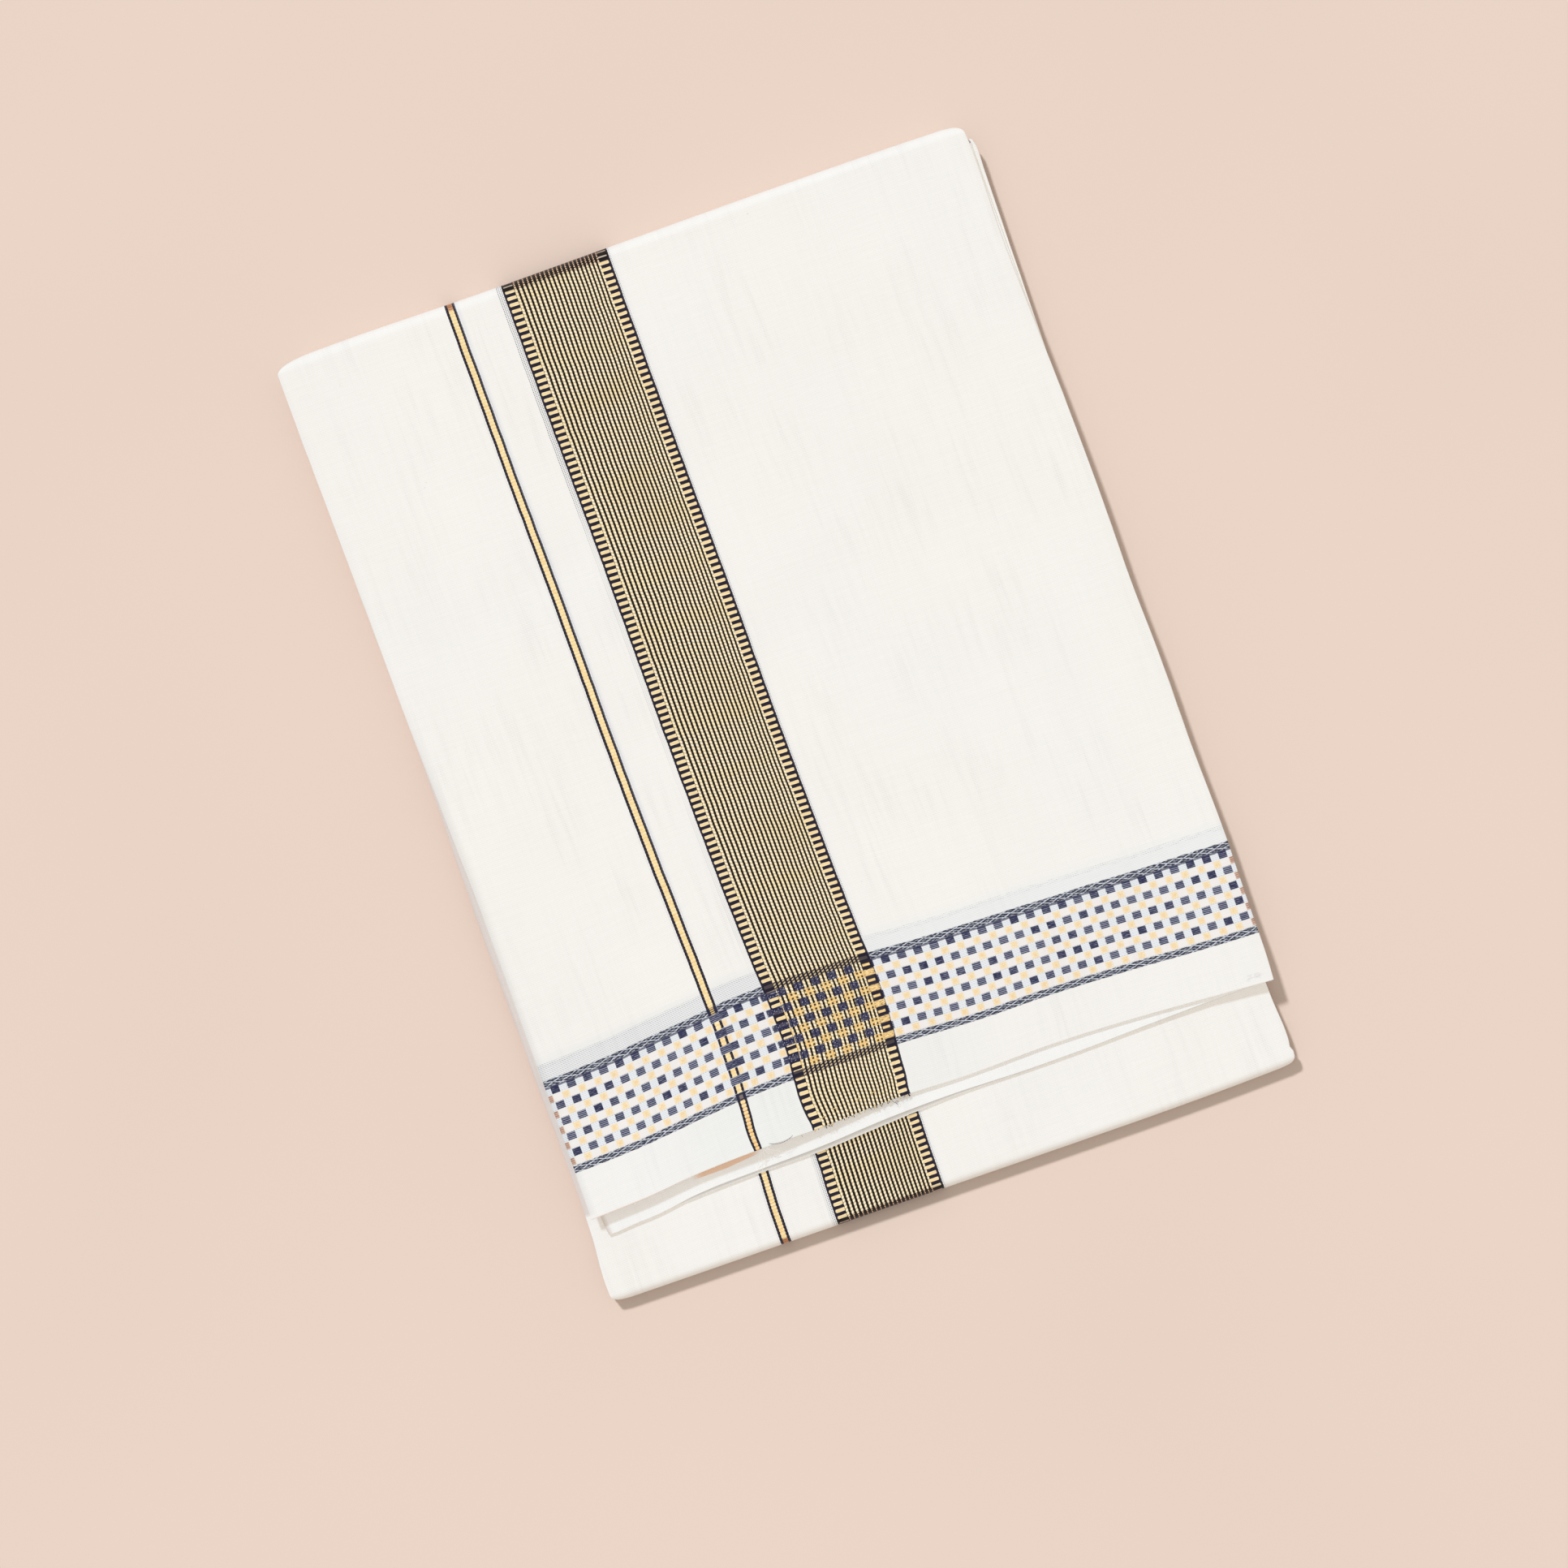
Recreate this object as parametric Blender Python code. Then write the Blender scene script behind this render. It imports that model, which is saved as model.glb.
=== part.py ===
"""A dhoti, shop-folded: one length of fine cotton pressed flat into a packet.

The cloth is folded in five across its width, halved along its length, then folded in thirds.
Three stretches of it show: the top stretch with its patterned cut end, the other cut end under it,
and the lower stretch, which turns round the near fold.  The layers between them are one rounded
solid with a layered rim.  X runs across the packet, Y along it with the far fold at +Y, Z is up, and
the origin is the middle of the packet's underside.
"""

import math
from typing import Callable, NamedTuple

import bmesh
import bpy
import numpy as np

MM = 0.001

# --- Driving sizes, in millimetres ---------------------------------------------------------
WALL = 1.0  # five plies of fine cotton, pressed
GAP = 0.3  # air between one solid and the next
STACK_TOP = 4.6  # top of the hidden layers
PACKET_END = 176.0  # how far the folds lie from the middle
HIDDEN_END = 165.0  # where two of the stretches stop, inside the far fold
LIP = 8.6  # how far a stretch runs on under the packet, past its fold
CUT_ROUNDING = 0.3  # softening of a cut end
PLY_VALLEY = 0.45  # depth of the groove between two layers of the rim
LIFT_FROM = -95.0  # the cut ends start to rise here
LIFT_SPAN = 47.0
LIFT_CURL = 1.6
LINE_FADE_FROM = -85.0  # a cut end's own line fades out from here on
LINE_FADE_SPAN = 105.0

LOWER_TOP = STACK_TOP + GAP + WALL
SECOND_TOP = LOWER_TOP + GAP + WALL
TOP_TOP = SECOND_TOP + GAP + WALL
NEAR_RADIUS = LOWER_TOP / 2  # outside of the near fold
FAR_RADIUS = TOP_TOP / 2  # outside of the far fold
INNER_STEP = WALL + GAP  # from a fold's outside to the layers inside it

# --- Mesh fineness -------------------------------------------------------------------------
WIDE_COLUMNS = 25  # points across the two upper stretches
PLAIN_COLUMNS = 15  # points across the lower stretch and the hidden layers
FOLD_STEPS = 8  # faces round a fold
NOSE_ANGLES = (75.0, 50.0, 25.0, 0.0)  # rings round the nose of the hidden layers, in degrees
EDGE_STEPS = 4  # faces round a stretch's side edge
PLY_STEPS = 4  # faces down one layer of the rim


class Edges(NamedTuple):
    """Left and right edge of a stretch at one place along the packet."""

    y: float
    left: float
    right: float


class Line(NamedTuple):
    """One point of a line that runs across the packet."""

    x: float
    y: float


class Lift(NamedTuple):
    """How far the two cut ends stand up from what they lie on, at one place across the packet."""

    x: float
    top: float
    second: float


class RimPly(NamedTuple):
    """One layer of the rim: how far it stands out on each side, and how its edge sways."""

    left: float
    right: float
    sway: float
    wavelength: float


class Corners(NamedTuple):
    """How far a fold's soft corners draw in from the left and right edge."""

    left: float
    right: float


FAR_CORNERS = Corners(12.0, 6.0)
NEAR_CORNERS = Corners(4.5, 4.5)
SQUARE = Corners(0.0, 0.0)

TOP_EDGES = (
    Edges(-146.0, -125.3, 127.2),
    Edges(-134.0, -125.3, 128.0),
    Edges(-112.0, -125.3, 128.4),
    Edges(-88.0, -125.3, 128.9),
    Edges(-55.0, -125.3, 128.4),
    Edges(-20.0, -125.7, 128.5),
    Edges(0.0, -126.4, 128.0),
    Edges(40.0, -127.3, 128.2),
    Edges(70.0, -127.6, 127.8),
    Edges(100.0, -128.0, 127.0),
    Edges(130.0, -128.4, 126.2),
    Edges(165.0, -128.8, 126.7),
    Edges(176.0, -128.8, 126.4),
)
SECOND_EDGES = (
    Edges(-151.0, -120.9, 124.4),
    Edges(-143.0, -121.9, 124.6),
    Edges(-100.0, -123.4, 125.3),
    Edges(0.0, -124.9, 126.4),
    Edges(100.0, -126.4, 127.0),
    Edges(166.0, -127.2, 127.2),
)
LOWER_EDGES = (
    Edges(-176.0, -128.8, 125.2),
    Edges(-168.0, -128.9, 125.6),
    Edges(-150.0, -127.7, 125.0),
    Edges(-140.0, -127.4, 124.9),
    Edges(-90.0, -127.7, 125.4),
    Edges(-24.0, -127.9, 126.2),
    Edges(20.0, -127.4, 127.0),
    Edges(75.0, -127.2, 127.5),
    Edges(130.0, -127.8, 128.2),
    Edges(158.0, -128.3, 128.7),
    Edges(163.0, -128.4, 128.8),
    Edges(167.0, -128.3, 127.8),
    Edges(171.0, -128.0, 126.2),
    Edges(176.0, -128.0, 125.6),
)
TOP_CUT = (
    Line(-126.0, -143.4),
    Line(-105.0, -142.7),
    Line(-84.0, -140.8),
    Line(-62.0, -140.1),
    Line(-40.0, -140.3),
    Line(-10.0, -139.6),
    Line(12.0, -140.5),
    Line(50.0, -140.4),
    Line(80.0, -141.8),
    Line(105.0, -143.6),
    Line(128.0, -145.3),
)
SECOND_CUT = (
    Line(-122.0, -150.3),
    Line(-105.0, -149.1),
    Line(-88.0, -147.6),
    Line(-66.0, -147.9),
    Line(-44.0, -148.4),
    Line(-20.0, -147.3),
    Line(8.0, -146.0),
    Line(45.0, -146.3),
    Line(80.0, -145.6),
    Line(125.0, -144.7),
)
SECOND_UPPER_CUT = (
    Line(-122.0, -149.5),
    Line(-104.0, -148.3),
    Line(-86.0, -146.8),
    Line(-66.0, -147.1),
    Line(-42.0, -146.7),
    Line(-16.0, -145.3),
    Line(10.0, -144.1),
    Line(32.0, -143.3),
    Line(60.0, -143.6),
    Line(80.0, -142.2),
    Line(125.0, -143.0),
)
FAR_FOLD = (
    Line(-129.0, 175.8),
    Line(-100.0, 176.0),
    Line(-60.0, 175.4),
    Line(0.0, 175.3),
    Line(60.0, 175.2),
    Line(100.0, 174.8),
    Line(127.0, 174.2),
)
NEAR_FOLD = (
    Line(-129.0, -173.7),
    Line(-100.0, -174.1),
    Line(-50.0, -174.6),
    Line(0.0, -175.2),
    Line(50.0, -175.8),
    Line(74.0, -176.0),
    Line(100.0, -175.9),
    Line(126.0, -175.4),
)
LIFTS = (
    Lift(-126.0, 2.7, 0.0),
    Lift(-90.0, 2.5, 0.0),
    Lift(-60.0, 2.9, 0.0),
    Lift(-40.0, 1.8, 0.0),
    Lift(-15.0, 0.6, 0.0),
    Lift(10.0, 0.1, 0.0),
    Lift(60.0, 0.0, 0.0),
    Lift(85.0, 0.4, 0.35),
    Lift(110.0, 1.2, 1.1),
    Lift(128.0, 1.6, 1.5),
)
RIM_PLIES = (  # from the top down
    RimPly(0.0, -0.5, 0.25, 61.0),
    RimPly(-0.6, 0.0, 0.35, 83.0),
    RimPly(-0.2, -0.3, 0.25, 47.0),
    RimPly(0.0, -0.7, 0.3, 71.0),
    RimPly(-0.5, -0.1, 0.3, 97.0),
    RimPly(-0.2, -0.5, 0.2, 53.0),
)

TOP_STOPS = (-139, -134, -127, -118, -108, -95, -75, -50, -20, 15, 55, 95, 130, 155, 167)
SECOND_STOPS = (-139, -130, -118, -105, -95, -60, -10, 50, 110, 150)
LOWER_STOPS = (150, 100, 40, -20, -80, -125, -145, -160, -168)
STACK_STOPS = (-150, -120, -90, -55, -20, 20, 60, 95, 125, 150)


def ease(f):
    """Soft step from 0 to 1."""
    f = np.clip(f, 0.0, 1.0)
    return f * f * (3 - 2 * f)


def smooth(at, table, column):
    """A table's column at `at`, read off a smooth curve through its rows."""
    xs = np.array([row[0] for row in table])
    ys = np.array([getattr(row, column) for row in table])
    slopes = np.gradient(ys, xs)
    at = np.clip(at, xs[0], xs[-1])
    i = np.clip(np.searchsorted(xs, at) - 1, 0, len(xs) - 2)
    step = xs[i + 1] - xs[i]
    f = (at - xs[i]) / step
    bend = step * f * (1 - f) * (slopes[i] * (1 - f) - slopes[i + 1] * f)
    return ys[i] + (ys[i + 1] - ys[i]) * ease(f) + bend


class Station(NamedTuple):
    """One ring of a wall: the middle of the wall at one place along its path."""

    edge_y: float  # where the table of edges is read
    y: Callable  # place along the packet, from x
    z: Callable  # height, from x
    half: float  # half the wall's thickness
    lean: float = 0.0  # how far the wall's outer side has turned from straight up
    draw_in: Corners = SQUARE


def wall_ring(station, edges, columns):
    """Ring of points round a wall: from its left edge over the outer side, back along the inner."""
    half = station.half
    left = smooth(station.edge_y, edges, "left") + station.draw_in.left + half
    right = smooth(station.edge_y, edges, "right") - station.draw_in.right - half
    flat = np.linspace(left, right, columns)
    turn = np.linspace(0.0, math.pi / 2, EDGE_STEPS // 2 + 1)[:-1]
    rise, reach = half * np.sin(turn), half * np.cos(turn)
    xs = np.concatenate((left - reach, flat, (right + reach)[::-1], right + reach[1:], flat[::-1]))
    xs = np.concatenate((xs, (left - reach[1:])[::-1]))
    off = np.concatenate((rise, np.full(columns, half), rise[::-1], -rise[1:], np.full(columns, -half)))
    off = np.concatenate((off, -rise[1:][::-1]))
    ys = station.y(xs) + off * math.sin(station.lean)
    zs = station.z(xs) + off * math.cos(station.lean)
    return np.stack((xs, ys, zs), axis=1)


def paired_cap(first, count):
    """Faces over a ring whose points pair up across it, from its leftmost point to its rightmost."""
    half = count // 2
    faces = [(first, first + 1, first + count - 1)]
    for i in range(1, half - 1):
        faces.append((first + i, first + i + 1, first + count - i - 1, first + count - i))
    faces.append((first + half - 1, first + half, first + half + 1))
    return faces


def cloth_material(name, colour, roughness):
    """Plain cloth colour for one node."""
    material = bpy.data.materials.new(name)
    material.use_nodes = True
    shader = material.node_tree.nodes["Principled BSDF"]
    shader.inputs["Base Color"].default_value = (*colour, 1.0)
    shader.inputs["Roughness"].default_value = roughness
    shader.inputs["Metallic"].default_value = 0.0
    return material


def loft(name, rings, material):
    """Closed solid through rings of equal length, shaded smooth."""
    count = len(rings[0])
    faces = []
    for start in range(0, (len(rings) - 1) * count, count):
        for i in range(count):
            j = (i + 1) % count
            faces.append((start + i, start + j, start + count + j, start + count + i))
    faces += paired_cap(0, count) + paired_cap((len(rings) - 1) * count, count)
    mesh = bpy.data.meshes.new(name)
    mesh.from_pydata((np.concatenate(rings) * MM).tolist(), [], faces)
    outward = bmesh.new()
    outward.from_mesh(mesh)
    bmesh.ops.recalc_face_normals(outward, faces=outward.faces)
    outward.to_mesh(mesh)
    outward.free()
    mesh.materials.append(material)
    mesh.shade_smooth()
    obj = bpy.data.objects.new(name, mesh)
    bpy.context.scene.collection.objects.link(obj)
    return obj


def along(place, cut, nominal):
    """Place along the packet, from x: the cut end's own line, fading out away from the end."""
    fade = 1.0 - ease((place - LINE_FADE_FROM) / LINE_FADE_SPAN)
    return lambda x: place + (smooth(x, cut, "y") - nominal) * fade


def raised(place, height, rise):
    """Height from x: the wall lifts over its last stretch before the cut end."""
    reach = float(np.clip((LIFT_FROM - place) / LIFT_SPAN, 0.0, 1.0)) ** LIFT_CURL
    return lambda x: height + np.maximum(smooth(x, LIFTS, rise), 0.0) * reach


def level(height):
    """The same height at every x."""
    return lambda x: np.full(np.shape(x), height)


def fold_stations(fold, radius, corners, side):
    """Stations round a fold and a little way back along the floor; side is 1 far, -1 near."""
    middle = radius - WALL / 2
    for angle in np.linspace(0.0, math.pi, FOLD_STEPS + 1):
        out = side * (middle * math.sin(angle) - radius)
        inset = 1.0 - abs(math.cos(angle))
        yield Station(
            edge_y=side * PACKET_END,
            y=lambda x, out=out: smooth(x, fold, "y") + out,
            z=level(radius + middle * math.cos(angle)),
            half=WALL / 2,
            lean=side * angle,
            draw_in=Corners(corners.left * inset, corners.right * inset),
        )
    for back, half in ((LIP - CUT_ROUNDING, WALL / 2), (LIP, WALL / 2 - CUT_ROUNDING)):
        out = side * (radius + back)
        yield Station(
            edge_y=side * PACKET_END,
            y=lambda x, out=out: smooth(x, fold, "y") - out,
            z=level(WALL / 2),
            half=half,
            lean=side * math.pi,
        )


def top_stretch():
    """The patterned cut end, its run up the packet, and its turn over the far fold."""
    nominal, height, half = -142.0, TOP_TOP - WALL / 2, WALL / 2
    stations = [
        Station(nominal, along(nominal, TOP_CUT, nominal), raised(nominal, height, "top"), half - CUT_ROUNDING)
    ]
    for place in (nominal + CUT_ROUNDING, *TOP_STOPS):
        stations.append(
            Station(place, along(place, TOP_CUT, nominal), raised(place, height, "top"), half)
        )
    stations += fold_stations(FAR_FOLD, FAR_RADIUS, FAR_CORNERS, 1)
    rings = [wall_ring(station, TOP_EDGES, WIDE_COLUMNS) for station in stations]
    return loft("top_stretch", rings, cloth_material("bordered_cotton", (0.9, 0.87, 0.8), 0.85))


def second_end():
    """The other cut end: its lower ply runs out a little past its upper one."""
    nominal, half, floor = -148.0, WALL / 2, SECOND_TOP - WALL
    quarter = WALL / 4
    edge = (  # line, distance behind it, height of the ply's middle, half its thickness
        (SECOND_CUT, 0.0, quarter, quarter * 0.5),
        (SECOND_CUT, 0.15, quarter, quarter),
        (SECOND_UPPER_CUT, -0.05, quarter, quarter),
        (SECOND_UPPER_CUT, 0.0, 1.6 * quarter, 1.6 * quarter),
        (SECOND_UPPER_CUT, 0.25, half, half),
    )
    stations = []
    for cut, behind, middle, thick in edge:
        place = nominal + behind
        line = lambda x, cut=cut, behind=behind: smooth(x, cut, "y") + behind
        stations.append(Station(place, line, raised(place, floor + middle, "second"), thick))
    for place in SECOND_STOPS:
        line = along(place, SECOND_UPPER_CUT, -144.5)
        stations.append(Station(place, line, raised(place, floor + half, "second"), half))
    for place, thick in ((HIDDEN_END - CUT_ROUNDING, half), (HIDDEN_END, half - CUT_ROUNDING)):
        stations.append(Station(place, level(place), level(floor + half), thick))
    rings = [wall_ring(station, SECOND_EDGES, WIDE_COLUMNS) for station in stations]
    return loft("second_end", rings, cloth_material("plain_end_cotton", (0.9, 0.88, 0.82), 0.85))


def lower_stretch():
    """The stretch under the ends, which turns round the near fold to the floor."""
    half, height = WALL / 2, level(LOWER_TOP - WALL / 2)
    stations = [
        Station(HIDDEN_END, level(HIDDEN_END), height, half - CUT_ROUNDING),
        Station(HIDDEN_END - CUT_ROUNDING, level(HIDDEN_END - CUT_ROUNDING), height, half),
    ]
    stations += [Station(place, level(place), height, half) for place in LOWER_STOPS]
    stations += fold_stations(NEAR_FOLD, NEAR_RADIUS, NEAR_CORNERS, -1)
    rings = [wall_ring(station, LOWER_EDGES, PLAIN_COLUMNS) for station in stations]
    return loft("lower_stretch", rings, cloth_material("striped_cotton", (0.9, 0.87, 0.8), 0.85))


class Slice(NamedTuple):
    """One ring of the hidden layers."""

    edge_y: float
    y: Callable
    bottom: float
    top: float
    draw_in: Corners = SQUARE


def rim_ring(cut):
    """Ring round the hidden layers, whose side edges swell out once for each layer."""
    steps = len(RIM_PLIES) * PLY_STEPS
    down = np.arange(steps + 1) / PLY_STEPS
    ply = np.minimum(down.astype(int), len(RIM_PLIES) - 1)
    swell = PLY_VALLEY * (1.0 - (2.0 * (down - ply) - 1.0) ** 2)
    waves = np.array([p.sway * math.sin(cut.edge_y / p.wavelength * math.tau / 2 + 2.1 * k)
                      for k, p in enumerate(RIM_PLIES)])
    lefts = np.array([p.left for p in RIM_PLIES]) + waves
    rights = np.array([p.right for p in RIM_PLIES]) - waves
    reach = swell - PLY_VALLEY
    left = smooth(cut.edge_y, LOWER_EDGES, "left") + cut.draw_in.left - lefts[ply] - reach
    right = smooth(cut.edge_y, LOWER_EDGES, "right") - cut.draw_in.right + rights[ply] + reach
    zs = cut.top + (cut.bottom - cut.top) * down / len(RIM_PLIES)
    flat = np.linspace(left[0], right[0], PLAIN_COLUMNS)[1:-1]
    under = np.linspace(left[-1], right[-1], PLAIN_COLUMNS)[1:-1]
    middle = steps // 2
    xs = np.concatenate((left[middle::-1], flat, right, under[::-1], left[:middle:-1]))
    top, bottom = np.full(len(flat), cut.top), np.full(len(flat), cut.bottom)
    heights = np.concatenate((zs[middle::-1], top, zs, bottom, zs[:middle:-1]))
    return np.stack((xs, cut.y(xs), heights), axis=1)


def nose_slices(fold, radius, corners, side):
    """Slices of the hidden layers inside a fold, from its tip inwards."""
    inner = radius - INNER_STEP
    for degrees in NOSE_ANGLES:
        angle = math.radians(degrees)
        out = side * (inner * math.sin(angle) - radius)
        inset = 1.0 - math.cos(angle)
        yield Slice(
            edge_y=side * (PACKET_END - radius + inner * math.sin(angle)),
            y=lambda x, out=out: smooth(x, fold, "y") + out,
            bottom=radius - inner * math.cos(angle),
            top=radius + inner * math.cos(angle),
            draw_in=Corners(corners.left * inset, corners.right * inset),
        )


def behind_lip(fold, radius, side, clear):
    """Line across the packet just past the end of a fold's lip."""
    return lambda x: smooth(x, fold, "y") - side * (radius + LIP + clear)


def folded_layers():
    """The hidden layers, with room left under them for the lips of the outer stretches."""
    near, far = -PACKET_END + NEAR_RADIUS + LIP, PACKET_END - FAR_RADIUS - LIP
    slices = [*nose_slices(NEAR_FOLD, NEAR_RADIUS, NEAR_CORNERS, -1)]
    slices += [
        Slice(near, behind_lip(NEAR_FOLD, NEAR_RADIUS, -1, GAP), INNER_STEP, STACK_TOP),
        Slice(near, behind_lip(NEAR_FOLD, NEAR_RADIUS, -1, GAP + 0.2), 0.0, STACK_TOP),
    ]
    slices += [Slice(place, level(place), 0.0, STACK_TOP) for place in STACK_STOPS]
    slices += [
        Slice(far, behind_lip(FAR_FOLD, FAR_RADIUS, 1, GAP + 0.2), 0.0, STACK_TOP),
        Slice(far, behind_lip(FAR_FOLD, FAR_RADIUS, 1, GAP), INNER_STEP, STACK_TOP),
        Slice(HIDDEN_END, level(HIDDEN_END + GAP), INNER_STEP, STACK_TOP),
        Slice(HIDDEN_END, level(HIDDEN_END + 2 * GAP), INNER_STEP, SECOND_TOP),
    ]
    slices += [*nose_slices(FAR_FOLD, FAR_RADIUS, FAR_CORNERS, 1)][::-1]
    rings = [rim_ring(cut) for cut in slices]
    return loft("folded_layers", rings, cloth_material("layered_cotton", (0.86, 0.84, 0.78), 0.9))


def main():
    """Clear the scene and build the packet."""
    for old in list(bpy.data.objects):
        bpy.data.objects.remove(old, do_unlink=True)
    folded_layers()
    lower_stretch()
    second_end()
    top_stretch()


main()
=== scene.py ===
"""A shop-folded dhoti: pressed fine cotton with woven borders, a patterned end and frayed cut yarns.

X runs across the packet, Y along it to the far fold and Z up from the surface it lies on.  Sizes are
in millimetres until a mesh is made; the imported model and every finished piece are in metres.
"""

import sys

import logging
import math
from collections.abc import Callable
from dataclasses import dataclass
from enum import Enum
from functools import partial

import bmesh
import bpy
import numpy as np
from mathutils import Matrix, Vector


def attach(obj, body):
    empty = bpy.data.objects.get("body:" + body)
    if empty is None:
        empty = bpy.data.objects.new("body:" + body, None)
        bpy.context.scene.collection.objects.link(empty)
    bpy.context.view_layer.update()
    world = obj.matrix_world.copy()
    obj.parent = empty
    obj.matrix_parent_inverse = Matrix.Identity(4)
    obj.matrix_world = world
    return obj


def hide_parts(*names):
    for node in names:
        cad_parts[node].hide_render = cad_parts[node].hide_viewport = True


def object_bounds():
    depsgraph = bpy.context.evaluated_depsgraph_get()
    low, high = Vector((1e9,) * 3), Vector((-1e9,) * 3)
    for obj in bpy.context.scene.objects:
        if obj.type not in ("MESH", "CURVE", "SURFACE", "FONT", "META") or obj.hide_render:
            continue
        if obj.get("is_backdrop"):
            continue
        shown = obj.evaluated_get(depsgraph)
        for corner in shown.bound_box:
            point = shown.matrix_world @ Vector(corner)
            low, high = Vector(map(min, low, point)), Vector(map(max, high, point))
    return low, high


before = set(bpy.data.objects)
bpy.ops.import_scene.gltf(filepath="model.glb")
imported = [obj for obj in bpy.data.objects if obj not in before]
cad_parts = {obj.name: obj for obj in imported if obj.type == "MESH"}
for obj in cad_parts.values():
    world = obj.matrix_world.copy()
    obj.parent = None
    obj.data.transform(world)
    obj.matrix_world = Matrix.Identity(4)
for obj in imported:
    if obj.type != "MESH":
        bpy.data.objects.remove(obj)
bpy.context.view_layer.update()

MM = 0.001
log = logging.getLogger("dhoti")
Array = np.ndarray

# --- Sizes of the packet, as its solids have them ---------------------------------------------
WALL = 1.0  # five pressed plies
SAG = 0.2  # how much nearer a stretch's underside lies to what is below it than its solid's does
STACK_TOP = 4.6
LAYER_STEP = 1.3  # a stretch and the air under it
PACKET_END = 176.0
HIDDEN_END = 168.0  # where the two ends' inner stretches stop, inside the far fold
CUT_PLACE = -142.0  # y that stands for the top cut in a path's places
LIP = 8.6  # how far a stretch runs back under the packet past its fold
NEAR_RADIUS = 2.95
FAR_RADIUS = 4.25

# --- Woven repeats ----------------------------------------------------------------------------
PICK = 0.592  # from one weft yarn pair to the next
END_SPACING = 0.435  # from one warp yarn to the next
THIN_STRIPE = -63.1  # middle of the thin stripe across the cloth
THIN_HALF = 1.95  # half its width
SELVEDGE = 128.0  # half of the folded cloth's width
OVER_FAR_FOLD = (309.6, 311.6)  # places along, from its patterned end, where it turns over the far fold
FOLDED_BACK = 400.0  # past this place the cloth is the lower stretch
LOWER_SHOWS = (480.0, 500.0)  # where that comes into sight
BORDER_LEFT = -44.1
BORDER_RIGHT = -5.0
PLAIN_END = 16.6  # dense plain weave between the cut end and the first braid
BAND_DEEP = 34.0  # from the foot of the lower braid to the head of the upper one
BAND_HEAD = PLAIN_END + BAND_DEEP
OPEN_WEAVE = 9.0  # how far past that the open weave shows
BRAID = 2.7
CHECK_FOOT = 2.82  # where the rows of checks start above the foot of the band
CHECK_ROW = 2.86
STRIPE_REACH = 5.2  # how far stray colour lies from a stripe's middle, or from the wide one's edge


def ease(f: Array) -> Array:
    """Soft step from 0 to 1."""
    f = np.clip(f, 0.0, 1.0)
    return f * f * (3 - 2 * f)


def spread(*parts: Array) -> Array:
    """Arrays spread to one shape and set side by side along a last axis."""
    return np.stack(np.broadcast_arrays(*parts), axis=-1)


def run_length(line: Array) -> Array:
    """Distance from a line's start to each of its points, by the chords."""
    return np.append(0.0, np.cumsum(np.linalg.norm(np.diff(line, axis=0), axis=1)))


def added(name: str, data: bpy.types.ID) -> bpy.types.Object:
    """A new object with its data, in the scene."""
    obj = bpy.data.objects.new(name, data)
    bpy.context.scene.collection.objects.link(obj)
    return obj


@dataclass(frozen=True)
class Curve:
    """A smooth curve through given points, each with its neighbours' mean slope."""

    points: tuple[tuple[float, float], ...]  # (place, value) pairs in rising order of place

    def __call__(self, at: Array) -> Array:
        """Read the curve.

        Args:
            at: places to read it at; past its ends it holds its end values.

        Returns:
            The values there, from a cubic piece between each pair of points.
        """
        xs, ys = np.array(self.points, dtype=float).T
        slopes = np.gradient(ys, xs)
        at = np.clip(at, xs[0], xs[-1])
        i = np.clip(np.searchsorted(xs, at) - 1, 0, len(xs) - 2)
        step = xs[i + 1] - xs[i]
        f = (at - xs[i]) / step
        bend = step * f * (1 - f) * (slopes[i] * (1 - f) - slopes[i + 1] * f)
        return ys[i] + (ys[i + 1] - ys[i]) * ease(f) + bend


def level(value: float) -> Curve:
    """A curve that keeps one value."""
    return Curve(((-PACKET_END, value), (PACKET_END, value)))


@dataclass(frozen=True)
class Crease:
    """A soft ridge, or a trough where its height is below nothing, pressed along a straight line."""

    start: tuple[float, float]  # one end, (x, y)
    end: tuple[float, float]  # the other end, (x, y)
    width: float  # how far it spreads to each side
    height: float  # how high it stands in its middle

    def rise(self, x: Array, y: Array) -> Array:
        """Height it adds: its own, less with the squared distance from the line and past its ends."""
        run = np.subtract(self.end, self.start)
        length = math.hypot(*run)
        along = ((x - self.start[0]) * run[0] + (y - self.start[1]) * run[1]) / length
        aside = ((x - self.start[0]) * run[1] - (y - self.start[1]) * run[0]) / length
        past = np.maximum(np.maximum(-along, along - length), 0.0) / (0.2 * length + self.width)
        return self.height * np.exp(-((aside / self.width) ** 2) - past**2)


@dataclass(frozen=True)
class Sway:
    """Slow uneven waves that no two edges share."""

    height: float  # how far it swings
    wavelength: float  # length of its longest wave
    phase: float  # where it starts

    def __call__(self, at: Array) -> Array:
        """Sum of three sines whose lengths don't share a measure."""
        turn = math.tau * at / self.wavelength + self.phase
        waves = 0.6 * np.sin(turn) + 0.3 * np.sin(2.3 * turn + 1.1) + 0.2 * np.sin(5.1 * turn + 2.7)
        return self.height * waves


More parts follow.
